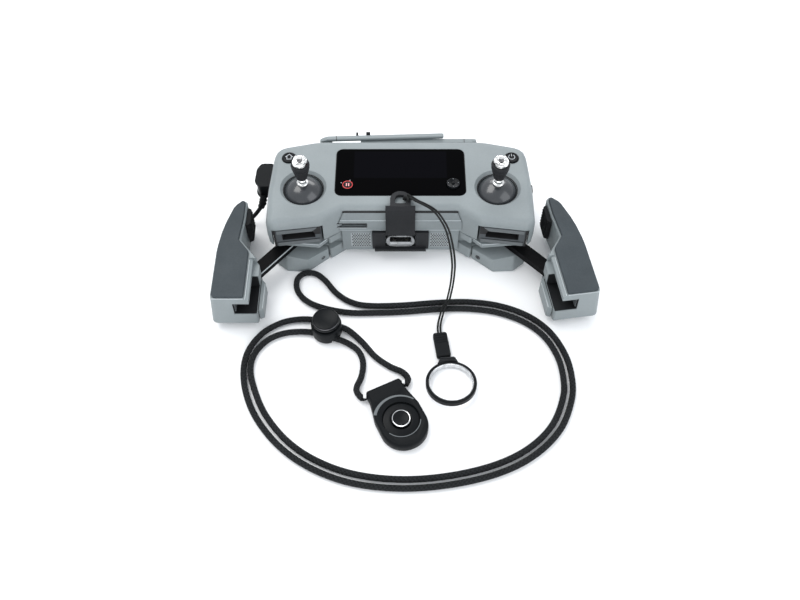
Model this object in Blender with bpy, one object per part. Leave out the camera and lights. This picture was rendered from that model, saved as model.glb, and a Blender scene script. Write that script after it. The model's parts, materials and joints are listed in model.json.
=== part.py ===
"""A folding two-stick radio transmitter, lying on its back.

It has a screen, two phone grips on hinged arms, two folded antennas, a short
phone lead on its left side, and a lanyard bracket round its USB port. The
bracket carries a thin tether with a metal ring; the braided neck cord that
the ring clips to lies in front, with its cord lock and its buckle.

Every figure is in millimetres, and MM turns it into Blender's metres. The
origin is the centre of the flat underside, +X points to the right hand,
+Y to the rear edge with the antennas, +Z up through the screen. SIDE is -1
for the left half and +1 for the right half.
"""

import math

import bmesh
import bpy
from mathutils import Matrix, Vector

MM = 0.001
GAP = 0.3  # between pieces that touch on the real object

# Housing
BODY_TOP = 39.0
SEAM = 20.0  # where the top and bottom shells meet
WALL = 2.4
FLOOR = 2.0
FRONT_Y = -18.4  # front edge of the top face between the grip corners
REAR_Y = 33.8

# Sticks
STICK_X, STICK_Y, STICK_Z = 53.7, -3.2, 30.0  # centre of each gimbal
DOME_R = 12.5
STICK_TOP = 61.4

# Grip arms: shoulder pivot in the body, wrist pivot in the grip
SHOULDER = Vector((-57.6, -15.4))
WRIST = Vector((-83.0, -46.0))
ARM_W = 7.5
ARM_Z = (10.4, 14.4)
BAY_Z = (9.8, 15.0)  # slot that the arm swings in
RIGHT_SPLAY = math.radians(4.7)  # the right arm stands open this much further
RIGHT_TURN = math.radians(3.5)  # and its grip is turned this much on its wrist

# Grips
GRIP_Z = (4.1, 26.6)
GRIP_TOP = 28.3
PHONE_SLOT = ((-88.5, -75.0, 13.6), (-70.0, -51.5, 22.4))

# Antennas: where each turns on the hinge block
LEFT_HINGE = (-44.6, 35.75)
RIGHT_HINGE = (42.9, 35.95)
LEFT_SWING = math.radians(2.2)  # the left antenna stands open this much

# Screen
SCREEN_CENTRE = (0.0, 8.2)
SCREEN_SIZE = (72.0, 34.4)

# Lanyard
NECK_D = 3.3
TETHER_D = 1.1
LEAD_D = 2.4
RING_CENTRE = (26.4, -106.7)
RING_LIFT = math.radians(6.0)  # its front edge is held up by this much
LOCK_CENTRE = (-39.8, -73.2)
LOCK_TURN = math.radians(-17.0)
BUCKLE_TOP = Vector((-9.3, -108.3))
BUCKLE_TURN = math.radians(26.0)  # of its long axis, from -Y towards +X

# Routes of the free cords, from the end where each leaves the object
LEAD_ROUTE = [
    (-79.0, 7.3, 20.6), (-79.2, 6.2, 18.6), (-79.9, 5.2, 16.0), (-81.4, 4.4, 13.0),
    (-84.0, 3.4, 9.4), (-86.8, 2.8, 6.0), (-89.4, 1.7, 3.4), (-91.2, -0.4, 1.7),
    (-92.4, -4.0, 1.4), (-93.2, -9.0, 1.4), (-93.9, -14.5, 1.6), (-94.2, -19.5, 2.1),
    (-94.3, -23.7, 2.1),
]
TETHER_ROUTE = [
    (5.0, -13.9, 43.0), (8.4, -17.2, 43.6), (12.6, -20.3, 44.2), (17.4, -24.6, 44.6),
    (21.0, -30.6, 44.6), (24.1, -38.0, 43.8), (26.1, -47.2, 41.0), (27.0, -53.6, 36.4),
    (27.0, -55.6, 29.0), (26.8, -55.5, 20.0), (26.2, -55.6, 12.0), (25.2, -57.2, 6.6),
    (22.9, -60.8, 5.1), (21.7, -64.4, 3.2), (20.5, -69.0, 1.9), (20.3, -74.0, 2.2),
    (21.2, -79.0, 2.2),
]
NECK_ROUTE = [
    (2.7, -106.9, 2.6), (4.0, -103.0, 2.2), (0.8, -98.8, 1.9), (-5.6, -95.6, 1.9),
    (-13.6, -89.4, 1.9), (-20.6, -80.6, 1.9), (-28.0, -73.4, 2.1), (-34.0, -70.6, 2.3),
    (-41.6, -68.3, 2.3), (-49.0, -66.2, 2.1), (-57.0, -66.2, 1.9), (-65.6, -68.6, 1.9),
    (-74.6, -75.0, 1.9), (-81.0, -85.4, 1.9), (-82.6, -97.8, 1.9), (-79.6, -112.4, 1.9),
    (-72.4, -127.0, 1.9), (-60.0, -141.6, 1.9), (-44.0, -152.8, 1.9), (-24.0, -160.4, 1.9),
    (0.0, -163.2, 1.9), (25.0, -161.2, 1.9), (48.8, -155.2, 1.9), (67.0, -145.6, 1.9),
    (80.8, -131.8, 1.9), (88.2, -115.4, 1.9), (89.8, -102.6, 1.9), (87.8, -88.4, 1.9),
    (81.0, -74.2, 1.9), (70.0, -63.8, 1.9), (55.0, -57.2, 1.9), (38.6, -54.6, 1.9),
    (22.0, -54.9, 1.9), (0.0, -56.8, 1.9), (-18.0, -57.0, 1.9), (-28.0, -54.4, 1.9),
    (-36.0, -48.4, 1.9), (-42.4, -40.0, 1.9), (-48.2, -35.2, 1.9), (-54.4, -35.1, 1.9),
    (-58.2, -39.4, 1.9), (-57.6, -46.8, 1.9), (-52.4, -53.6, 1.9), (-43.0, -58.4, 1.9),
    (-28.4, -61.6, 1.9), (-12.0, -61.8, 1.9), (4.0, -61.0, 1.9), (22.0, -59.3, 1.9),
    (37.8, -59.2, 1.9), (53.4, -61.6, 1.9), (67.6, -67.8, 1.9), (77.6, -77.0, 1.9),
    (83.6, -89.6, 1.9), (85.3, -102.6, 1.9), (83.8, -114.4, 1.9), (76.8, -129.6, 1.9),
    (64.0, -142.2, 1.9), (46.8, -151.0, 1.9), (24.2, -156.7, 1.9), (0.0, -158.6, 1.9),
    (-23.0, -155.8, 1.9), (-42.0, -148.6, 1.9), (-56.8, -138.2, 1.9), (-68.4, -124.4, 1.9),
    (-75.2, -110.8, 1.9), (-79.0, -97.6, 1.9), (-77.5, -87.4, 1.9), (-71.2, -79.1, 1.9),
    (-62.0, -74.8, 1.9), (-51.0, -74.2, 2.1), (-43.0, -76.0, 2.3), (-35.4, -78.4, 2.3),
    (-28.6, -81.2, 2.1), (-22.6, -86.0, 1.9), (-19.8, -93.0, 1.9), (-20.4, -101.4, 1.9),
    (-22.8, -108.4, 2.1), (-21.9, -112.2, 2.4), (-19.4, -115.0, 2.6),
]

COLOURS = {
    "shell_grey": ((0.53, 0.57, 0.60), 0.55, 0.0),
    "foot_grey": ((0.50, 0.54, 0.57), 0.55, 0.0),
    "panel_grey": ((0.50, 0.53, 0.56), 0.55, 0.0),
    "cover_slate": ((0.20, 0.23, 0.26), 0.7, 0.0),
    "pocket_rubber": ((0.07, 0.075, 0.08), 0.7, 0.0),
    "pad_rubber": ((0.03, 0.03, 0.032), 0.8, 0.0),
    "screen_glass": ((0.01, 0.01, 0.012), 0.08, 0.0),
    "button_black": ((0.03, 0.03, 0.035), 0.35, 0.0),
    "dome_gloss": ((0.10, 0.11, 0.12), 0.2, 0.0),
    "bright_metal": ((0.80, 0.80, 0.80), 0.2, 1.0),
    "arm_metal": ((0.02, 0.02, 0.022), 0.4, 0.8),
    "bracket_plastic": ((0.09, 0.09, 0.10), 0.6, 0.0),
    "cord_black": ((0.02, 0.02, 0.022), 0.8, 0.0),
    "board_green": ((0.02, 0.12, 0.05), 0.5, 0.0),
    "cell_grey": ((0.25, 0.26, 0.28), 0.5, 0.0),
    "mechanism": ((0.15, 0.15, 0.16), 0.5, 0.0),
}


# ---------------------------------------------------------------- tools


def clear_scene():
    for obj in list(bpy.data.objects):
        bpy.data.objects.remove(obj)


def finish(obj, colour):
    """Gives an object one of the COLOURS."""
    material = bpy.data.materials.get(colour)
    if material is None:
        rgb, roughness, metallic = COLOURS[colour]
        material = bpy.data.materials.new(colour)
        material.use_nodes = True
        shader = material.node_tree.nodes["Principled BSDF"]
        shader.inputs["Base Color"].default_value = (*rgb, 1)
        shader.inputs["Roughness"].default_value = roughness
        shader.inputs["Metallic"].default_value = metallic
        material.diffuse_color = (*rgb, 1)
    obj.data.materials.append(material)
    return obj


def add_object(name, bm, colour):
    bmesh.ops.recalc_face_normals(bm, faces=bm.faces)
    mesh = bpy.data.meshes.new(name)
    bm.to_mesh(mesh)
    bm.free()
    obj = bpy.data.objects.new(name, mesh)
    bpy.context.collection.objects.link(obj)
    if colour:
        finish(obj, colour)
        mesh.shade_smooth()
        mesh.set_sharp_from_angle(angle=math.radians(35))
    else:
        obj.hide_render = True
        obj.display_type = "WIRE"
    return obj


def rounded(corners, step=24):
    """Outline through (x, y, radius) corners, each rounded by an arc of its radius."""
    points = []
    count = len(corners)
    for i, (x, y, radius) in enumerate(corners):
        here = Vector((x, y))
        back = (Vector(corners[i - 1][:2]) - here).normalized()
        ahead = (Vector(corners[(i + 1) % count][:2]) - here).normalized()
        turn = math.pi - back.angle(ahead)
        if radius < 0.05 or turn < 0.02:
            points.append(here)
            continue
        run = radius * math.tan(turn / 2)
        centre = here + (back + ahead).normalized() * radius / math.cos(turn / 2)
        start = here + back * run - centre
        sign = 1 if start.cross(here + ahead * run - centre) > 0 else -1
        pieces = max(1, round(math.degrees(turn) / step))
        for k in range(pieces + 1):
            points.append(centre + Matrix.Rotation(sign * turn * k / pieces, 2) @ start)
    return points


def inset(outline, distance):
    """The outline (anticlockwise) moved inwards by a distance."""
    moved = []
    count = len(outline)
    for i, point in enumerate(outline):
        before = (point - outline[i - 1]).normalized()
        after = (outline[(i + 1) % count] - point).normalized()
        normal = Vector((-before.y - after.y, before.x + after.x)).normalized()
        stretch = max(0.5, normal.dot(Vector((-before.y, before.x))))
        moved.append(point + normal * distance / stretch)
    return moved


def circle(radius, centre=(0, 0), sides=24):
    turn = 2 * math.pi / sides
    return [Vector((centre[0] + radius * math.cos(i * turn), centre[1] + radius * math.sin(i * turn)))
            for i in range(sides)]


def rectangle(low, high, radius=0.0):
    (x0, y0), (x1, y1) = low, high
    return rounded([(x0, y0, radius), (x1, y0, radius), (x1, y1, radius), (x0, y1, radius)])


def sided(corners, side):
    """Corners given for the right half, moved to the asked side and kept anticlockwise."""
    return corners if side > 0 else [(-x, y, r) for x, y, r in reversed(corners)]


def both_halves(corners):
    """A whole outline from the right half's corners, front to rear."""
    return corners + [(-x, y, r) for x, y, r in reversed(corners)]


def stack(name, levels, colour):
    """A solid from outlines with equal point counts: levels holds (z, outline) from the bottom up."""
    bm = bmesh.new()
    rings = [[bm.verts.new((p[0] * MM, p[1] * MM, z * MM)) for p in outline] for z, outline in levels]
    bm.faces.new(rings[0])
    bm.faces.new(rings[-1])
    for low, high in zip(rings, rings[1:]):
        for i in range(len(low)):
            j = (i + 1) % len(low)
            bm.faces.new((low[i], low[j], high[j], high[i]))
    return add_object(name, bm, colour)


def prism(name, outline, z0, z1, colour=None):
    return stack(name, [(z0, outline), (z1, outline)], colour)


def box(name, low, high, colour=None):
    outline = [Vector(p) for p in ((low[0], low[1]), (high[0], low[1]), (high[0], high[1]), (low[0], high[1]))]
    return prism(name, outline, low[2], high[2], colour)


def turned_box(name, centre, size, turn, colour=None):
    """A box turned about Z by an angle; centre and size have three values each."""
    spin = Matrix.Rotation(turn, 2)
    half = Vector(size) / 2
    outline = [spin @ Vector((sx * half.x, sy * half.y)) + Vector(centre[:2])
               for sx, sy in ((-1, -1), (1, -1), (1, 1), (-1, 1))]
    return prism(name, outline, centre[2] - half.z, centre[2] + half.z, colour)


def profile_x(name, section, x0, x1, colour=None):
    """A section of (y, z) points extruded along X."""
    bm = bmesh.new()
    ends = [[bm.verts.new((x * MM, y * MM, z * MM)) for y, z in section] for x in (x0, x1)]
    bm.faces.new(ends[0])
    bm.faces.new(ends[1])
    for i in range(len(section)):
        j = (i + 1) % len(section)
        bm.faces.new((ends[0][i], ends[0][j], ends[1][j], ends[1][i]))
    return add_object(name, bm, colour)


def lathe(name, profile, colour=None, sides=24):
    """A solid turned about Z from (radius, z) points, both ends on the axis or closed flat."""
    return stack(name, [(z, circle(max(r, 0.02), sides=sides)) for r, z in profile], colour)


def rod(name, start, end, radius, colour=None, sides=16):
    """A round bar between two points."""
    start, end = Vector(start), Vector(end)
    bar = lathe(name, [(radius, 0), (radius, (end - start).length)], colour, sides)
    turn = (end - start).to_track_quat("Z", "X").to_matrix().to_4x4()
    bar.data.transform(Matrix.Translation(start * MM) @ turn)
    return bar


def combine(obj, tool, operation):
    tool.parent = obj
    tool.hide_render = True
    tool.display_type = "WIRE"
    modifier = obj.modifiers.new(f"{operation.lower()} {tool.name}", "BOOLEAN")
    modifier.operation = operation
    modifier.object = tool
    return obj


def cut(obj, *tools):
    for tool in tools:
        combine(obj, tool, "DIFFERENCE")
    return obj


def join(obj, *tools):
    for tool in tools:
        combine(obj, tool, "UNION")
    return obj


def hang(obj, pivot, frame=None):
    """Puts an object's origin on its joint, and its place in a frame that may be turned."""
    pivot = Vector(pivot) * MM
    obj.data.transform(Matrix.Translation(-pivot))
    for child in obj.children:
        child.location -= pivot
    obj.location = pivot
    if frame:
        obj.parent = frame
        obj.location = pivot - frame.location
    return obj


def smooth_route(route, spacing):
    """Points at an even spacing on a Catmull-Rom curve through the route."""
    knots = [Vector(p) for p in route]
    knots = [2 * knots[0] - knots[1], *knots, 2 * knots[-1] - knots[-2]]
    fine = [knots[1]]
    for a, b, c, d in zip(knots, knots[1:], knots[2:], knots[3:]):
        for k in range(1, 13):
            t = k / 12
            fine.append(0.5 * (2 * b + (c - a) * t + (2 * a - 5 * b + 4 * c - d) * t * t
                               + (3 * b - a - 3 * c + d) * t ** 3))
    lengths = [0.0]
    for a, b in zip(fine, fine[1:]):
        lengths.append(lengths[-1] + (b - a).length)
    count = max(2, round(lengths[-1] / spacing))
    points, at = [], 0
    for k in range(count + 1):
        want = lengths[-1] * k / count
        while at < len(fine) - 2 and lengths[at + 1] < want:
            at += 1
        share = (want - lengths[at]) / (lengths[at + 1] - lengths[at])
        points.append(fine[at].lerp(fine[at + 1], min(1.0, share)))
    return points


def cord(name, route, diameter, spacing, colour="cord_black"):
    """A round cord along a smooth curve through its route, with closed ends."""
    points = smooth_route(route, spacing)
    curve = bpy.data.curves.new(name, "CURVE")
    curve.dimensions = "3D"
    curve.bevel_depth = diameter / 2 * MM
    curve.bevel_resolution = 2
    curve.use_fill_caps = True
    spline = curve.splines.new("POLY")
    spline.points.add(len(points) - 1)
    for place, point in zip(spline.points, points):
        place.co = (*(point * MM), 1)
    obj = bpy.data.objects.new(name, curve)
    bpy.context.collection.objects.link(obj)
    return finish(obj, colour)


def named(side, name):
    return f"{name}_{'left' if side < 0 else 'right'}"


# ---------------------------------------------------------------- housing

TOP_PLAN = rounded(both_halves([
    (31, FRONT_Y, 2), (43, -26, 6), (73.2, -30, 5), (73.8, -2, 60), (72, 28, 9), (47, REAR_Y, 25),
]))
REAR_TURN = math.atan2(28 - REAR_Y, 72 - 47)  # slope of the rear corners of the housing


def rear_point(x, depth):
    """The point at |x| on the sloping rear edge, moved inwards by a depth."""
    y = REAR_Y + (x - 47) * math.tan(REAR_TURN)
    return Vector((x, y)) + depth * Vector((math.sin(REAR_TURN), -math.cos(REAR_TURN)))


def front_port_cutter(name):
    return box(name, (-8.4, -30, 11.0), (8.4, -8, 21.5))


def top_shell():
    levels = [(SEAM + GAP / 2, 0.5), (27, 0), (34.5, 0.2), (37.2, 1.1), (38.5, 2.4), (BODY_TOP, 4.0)]
    shell = stack("top_shell", [(z, inset(TOP_PLAN, d)) for z, d in levels], "shell_grey")
    cut(shell, prism("top_hollow", inset(TOP_PLAN, WALL), 10, 36.3))
    cut(shell, box("front_opening", (-31, -30, 10), (31, -15.5, 36.1)))
    x, y = SCREEN_CENTRE
    w, h = SCREEN_SIZE[0] / 2 + 0.4, SCREEN_SIZE[1] / 2 + 0.4
    cut(shell, prism("screen_opening", rectangle((x - w, y - h), (x + w, y + h), 3.9), 30, 45))
    cut(shell, box("mode_window", (66, -1.7, 26), (80, 10.7, 30)))
    for side in (-1, 1):
        centre = (side * STICK_X, STICK_Y)
        cut(shell, stack(named(side, "dish"), [
            (30, circle(11.0, centre, 32)), (36.9, circle(11.0, centre, 32)),
            (40.2, circle(14.0, centre, 32))], None))
        cut(shell, box(named(side, "pocket_opening"), (min(side * 42.4, side * 70), -45, 10),
                       (max(side * 42.4, side * 70), -17.0, 33)))
        cut(shell, prism(named(side, "shoulder_hole"), circle(4.3, (side * 63.0, 18.8), 20), 30, 45))
        dial = rear_point(54, 0)
        cut(shell, turned_box(named(side, "dial_window"), (side * dial.x, dial.y, 26.5), (15.5, 8, 6.2),
                              side * REAR_TURN))
        trigger = rear_point(65, 0)
        cut(shell, turned_box(named(side, "trigger_window"), (side * trigger.x, trigger.y, 27.0), (8.4, 9, 5.2),
                              side * REAR_TURN))
    return shell


def lip_outline(side):
    """Ledge above the arm slot, under the stick pocket."""
    return rounded(sided([(35.4, -17.0, 0), (45.4, -26.8, 1.5), (67.6, -24.6, 2), (70.6, -16.0, 1),
                          (60, -12, 0), (38, -14, 0)], side))


def bottom_shell():
    plan = rounded(both_halves([
        (31, -17.3, 0), (40.2, -24.4, 1.2), (40.6, -20.6, 0), (70.6, -20.6, 3), (73.0, -2, 60),
        (71.3, 27.6, 9), (47, REAR_Y - 0.6, 25),
    ]))
    shell = stack("bottom_shell", [(0, inset(plan, 0.9)), (1.2, inset(plan, 0.2)), (8, plan),
                                   (SEAM - GAP / 2, plan)], "shell_grey")
    for side in (-1, 1):
        join(shell, prism(named(side, "lip"), lip_outline(side), BAY_Z[1], 18.1))
    cut(shell, box("bottom_hollow", (-68, -8.5, FLOOR), (68, 24, 30)))
    cut(shell, front_port_cutter("port_hole"))
    for side in (-1, 1):
        bay = sided([(20, -45, 0), (80, -45, 0), (80, -17.6, 0), (69, -17.6, 0), (69, -9.6, 0),
                     (52, -9.6, 0), (43, -15.6, 0), (40, -17.6, 0), (20, -17.6, 0)], side)
        cut(shell, prism(named(side, "arm_bay"), rounded(bay), *BAY_Z))
        cut(shell, box(named(side, "pocket_seat"), (min(side * 42.4, side * 69.8), -45, 18.3),
                       (max(side * 42.4, side * 69.8), -8, 30)))
        shoulder = (-side * SHOULDER.x, SHOULDER.y)
        cut(shell, prism(named(side, "shoulder_bore"), circle(2.2, shoulder, 16), 8.6, 16.2))
        cut(shell, prism(named(side, "back_button_hole"), circle(4.4, (side * 50, 8), 20), -1, 4))
    return shell


def front_panel():
    """The wall between the grip corners, with a ledge, a card slot and the port opening."""
    def outline(front):
        tip = 31 + (-18.8 - front) / 0.667
        return [Vector(p) for p in ((-tip, front), (tip, front), (31, -18.8), (30.6, -17.7),
                                    (-30.6, -17.7), (-31, -18.8))]
    levels = [(4.5, -20.0), (22.8, -20.0), (23.3, -20.8), (29.6, -20.8), (35.7, -19.1)]
    panel = stack("front_panel", [(z, outline(y)) for z, y in levels], "panel_grey")
    cut(panel, front_port_cutter("panel_port_hole"))
    cut(panel, box("card_slot", (-35.4, -24, 26.0), (-18.9, -18.6, 28.8)))
    return panel


def pocket(side):
    """Rubber insert that stores one stick."""
    outline = rounded(sided([(43.3, -25.0, 1), (69.2, -28.4, 1), (69.2, -17.7, 0), (43.3, -17.7, 0)], side))
    insert = prism(named(side, "stick_pocket"), outline, 18.6, 32.7, "pocket_rubber")
    x = sorted((side * 47.0, side * 65.0))
    return cut(insert, box(named(side, "stick_slot"), (x[0], -40, 23.0), (x[1], -19.8, 28.4)))


def front_foot(side):
    low = rounded(sided([(40.9, -23.2, 0.5), (52.4, -32.8, 1.5), (64.4, -32.3, 3), (71.4, -26.4, 3), (70.8, -20.9, 0),
                         (40.9, -20.9, 0)], side))
    high = rounded(sided([(40.9, -23.6, 0.5), (52.0, -31.8, 1.5), (64.2, -28.8, 3), (69.8, -21.9, 1), (69.7, -20.9, 0),
                          (40.9, -20.9, 0)], side))
    return stack(named(side, "front_foot"), [(0, inset(low, 0.4)), (1.2, low), (8.7, high), (9.5, inset(high, 0.5))],
                 "foot_grey")


def rear_block():
    """Hinge block behind the housing that carries the two antennas."""
    block = prism("antenna_block", rounded(both_halves([(46.6, 34.1, 0.6), (46.6, 37.9, 1.6)])), 20, 31.7,
                  "shell_grey")
    join(block, prism("left_knuckle", rectangle((-46.7, 34.1), (-39.6, 37.5), 1.2), 30, 35.5))
    cut(block, prism("left_antenna_bore", circle(1.1, LEFT_HINGE, 16), 33.4, 45))
    cut(block, prism("right_antenna_bore", circle(1.1, RIGHT_HINGE, 16), 29.4, 45))
    return block


# ---------------------------------------------------------------- inside


def inside_parts():
    x, y = SCREEN_CENTRE
    box("display_module", (x - 34.5, 4.5, 29), (x + 34.5, 24.4, 37.9), "cell_grey")
    box("main_board", (-38, -12.5, 23), (38, 26, 24.6), "board_green")
    prism("battery_pack", rectangle((-30, -7.5), (30, 23), 5), 2.4, 18.4, "cell_grey")


def gimbal(side):
    """One stick: a fixed base, a yoke that turns about X, and the stick that turns about Y in it."""
    x, y, z = side * STICK_X, STICK_Y, STICK_Z
    base = box(named(side, "gimbal_base"), (x - 10.9, y - 11.5, 18.7), (x + 10.9, y + 11.5, 20.4), "mechanism")
    for sign in (-1, 1):
        near, far = sorted((x + sign * 8.0, x + sign * 9.8))
        join(base, box(named(side, f"post_{sign}"), (near, y - 3, 19.5), (far, y + 3, z + 2.4)))
    cut(base, rod(named(side, "base_bore"), (x - 12, y, z), (x + 12, y, z), 1.5))

    yoke = box(named(side, "gimbal_yoke"), (x - 6.5, y - 6.5, z - 1.5), (x + 6.5, y + 6.5, z + 1.5), "mechanism")
    cut(yoke, box(named(side, "yoke_hollow"), (x - 4.4, y - 4.4, z - 5), (x + 4.4, y + 4.4, z + 5)))
    for sign in (-1, 1):
        join(yoke, rod(named(side, f"yoke_pin_{sign}"), (x + sign * 5.5, y, z), (x + sign * 9.5, y, z), 1.15))
    cut(yoke, rod(named(side, "yoke_bore"), (x, y - 8, z), (x, y + 8, z), 1.25))
    hang(yoke, (x, y, z))

    stick = lathe(named(side, "stick_shaft"), [
        (1.6, 27.2), (1.6, 42.8), (3.1, 42.8), (3.1, 43.8), (2.3, 44.3), (2.3, 45.0), (1.6, 45.8),
        (1.6, 58.2), (4.0, 58.2), (4.0, 59.9), (3.4, 60.2)], "bright_metal", 20)
    stick.data.transform(Matrix.Translation((x * MM, y * MM, 0)))
    join(stick, rod(named(side, "stick_pin"), (x, y - 6.2, z), (x, y + 6.2, z), 0.95))
    for i in range(4):
        turn = math.radians(45 + 90 * i)
        spot = (x + 2.3 * math.cos(turn), y + 2.3 * math.sin(turn), STICK_TOP - 1.2)
        join(stick, turned_box(named(side, f"prong_{i}"), spot, (2.0, 1.6, 2.4), turn))
    hang(stick, (x, y, z))

    sleeve = lathe(named(side, "stick_sleeve"), [(2.7, 47.0), (2.9, 47.4), (4.4, 53.2), (5.1, 57.0),
                                                (4.8, 57.9)], "dome_gloss", 20)
    sleeve.data.transform(Matrix.Translation((x * MM, y * MM, 0)))
    cut(sleeve, rod(named(side, "sleeve_bore"), (x, y, 44), (x, y, 62), 1.9))
    hang(sleeve, (x, y, z))

    def arc(radius, degrees):
        return radius * math.sin(math.radians(degrees)), z + radius * math.cos(math.radians(degrees))
    outer = [arc(DOME_R, a) for a in (82, 68, 54, 40, 27, 14)] + [(0, z + DOME_R)]
    dome = lathe(named(side, "stick_dome"), outer, "dome_gloss", 28)
    inner = [(11.5, z - 8)] + [arc(11.5, a) for a in (90, 72, 54, 36, 18)] + [(0, z + 11.5)]
    hollow = lathe(named(side, "dome_hollow"), inner, None, 28)
    for piece in (dome, hollow):
        piece.data.transform(Matrix.Translation((x * MM, y * MM, 0)))
    cut(dome, hollow, rod(named(side, "dome_hole"), (x, y, 38), (x, y, 50), 1.9))
    hang(dome, (x, y, z))


# ---------------------------------------------------------------- controls


def screen():
    x, y = SCREEN_CENTRE
    w, h = SCREEN_SIZE[0] / 2, SCREEN_SIZE[1] / 2
    glass = prism("screen_glass", rectangle((x - w, y - h), (x + w, y + h), 3.5), 38.2, 39.4, "screen_glass")
    cut(glass, prism("pause_hole", circle(3.4, (-29.2, -2.0), 20), 35, 45))
    cut(glass, prism("five_way_hole", circle(3.9, (29.2, -1.2), 20), 35, 45))
    return glass


def buttons():
    def button(name, centre, radius, z0, z1, rim=0.4):
        piece = stack(name, [(z0, circle(radius, centre, 20)), (z1 - rim, circle(radius, centre, 20)),
                             (z1, circle(radius - rim, centre, 20))], "button_black")
        return hang(piece, (*centre, z0))
    button("pause_button", (-29.2, -2.0), 3.1, 33.0, 39.9)
    button("five_way_button", (29.2, -1.2), 3.6, 33.0, 40.8)
    button("home_button", (-63.0, 18.8), 3.95, 33.0, 39.9)
    button("power_button", (63.0, 18.8), 3.95, 33.0, 39.9)
    for side in (-1, 1):
        piece = prism(named(side, "back_button"), circle(4.05, (side * 50, 8), 20), 0.5, 3.2, "button_black")
        hang(piece, (side * 50, 8, 0.5))
        centre = rear_point(65, 0.4)
        trigger = turned_box("record_button" if side < 0 else "shutter_button",
                             (side * centre.x, centre.y, 27.0), (7.6, 5.0, 4.4), side * REAR_TURN, "button_black")
        hang(trigger, (side * centre.x, centre.y, 27.0))
        hub = rear_point(54, 5.4)
        spot = (side * hub.x, hub.y)
        wheel = prism(named(side, "dial"), circle(7.4, spot, 30), 24.4, 28.6, "pad_rubber")
        hang(wheel, (*spot, 26.5))
    knob = box("mode_switch", (69.4, 1.9, 26.6), (75.0, 7.1, 29.4), "button_black")
    hang(knob, (73, 4.5, 28))


def antennas():
    def antenna(name, side, pivot, length, half, z0, z1, slope, turn):
        """A bar from its hinge inwards; slope is how far its top falls short at the hinge end."""
        def outline(shift, trim):
            near, far = pivot[0] + side * (half - shift), pivot[0] - side * length
            y0, y1 = pivot[1] - half, pivot[1] + half
            corners = [(near, y0, half * 0.9), (near, y1, half * 0.9), (far, y1, 1.0), (far, y0, 1.0)]
            return inset(rounded(corners if side > 0 else corners[::-1]), trim)
        bar = stack(name, [(z0, outline(0, 0.3)), (z0 + 0.5, outline(0, 0)), (z1 - 0.5, outline(slope * 0.8, 0)),
                           (z1, outline(slope, 0.4))], "shell_grey")
        join(bar, prism(f"{name}_pin", circle(0.8, pivot, 16), z0 - 2.0, z0 + 0.5))
        hang(bar, (*pivot, z0))
        bar.rotation_euler.z = turn
    antenna("antenna_left", -1, LEFT_HINGE, 69.8, 1.5, 35.8, 37.9, 3.0, LEFT_SWING)
    antenna("antenna_right", 1, RIGHT_HINGE, 66.0, 1.75, 32.0, 35.5, 0.6, 0.0)


# ---------------------------------------------------------------- grips


def grip_frame(side):
    """Everything of a grip is placed as on the left; the right one is mirrored and turned open."""
    frame = bpy.data.objects.new(named(side, "grip_frame"), None)
    bpy.context.collection.objects.link(frame)
    frame.location = (-side * SHOULDER.x * MM, SHOULDER.y * MM, 0)
    if side > 0:
        frame.rotation_euler.z = RIGHT_SPLAY
    return frame


def flipped(side, corners):
    """Corners given for the left grip, for the asked side, kept anticlockwise."""
    return rounded(corners if side < 0 else [(-x, y, r) for x, y, r in reversed(corners)])


def arm(side, frame):
    along = (SHOULDER - WRIST).normalized()
    across = Vector((-along.y, along.x)) * ARM_W / 2
    corners = [(*(WRIST - along * 3.4 - across), 3), (*(SHOULDER + along * 3.6 - across), 3.4),
               (*(SHOULDER + along * 3.6 + across), 3.4), (*(WRIST - along * 3.4 + across), 3)]
    bar = prism(named(side, "grip_arm"), flipped(side, corners), *ARM_Z, "arm_metal")
    join(bar, prism(named(side, "shoulder_pin"), circle(1.9, (-side * SHOULDER.x, SHOULDER.y), 16), 8.9, 15.9))
    join(bar, prism(named(side, "wrist_pin"), circle(1.9, (-side * WRIST.x, WRIST.y), 16), 7.6, 17.2))
    hang(bar, (-side * SHOULDER.x, SHOULDER.y, ARM_Z[0]), frame)


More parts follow.
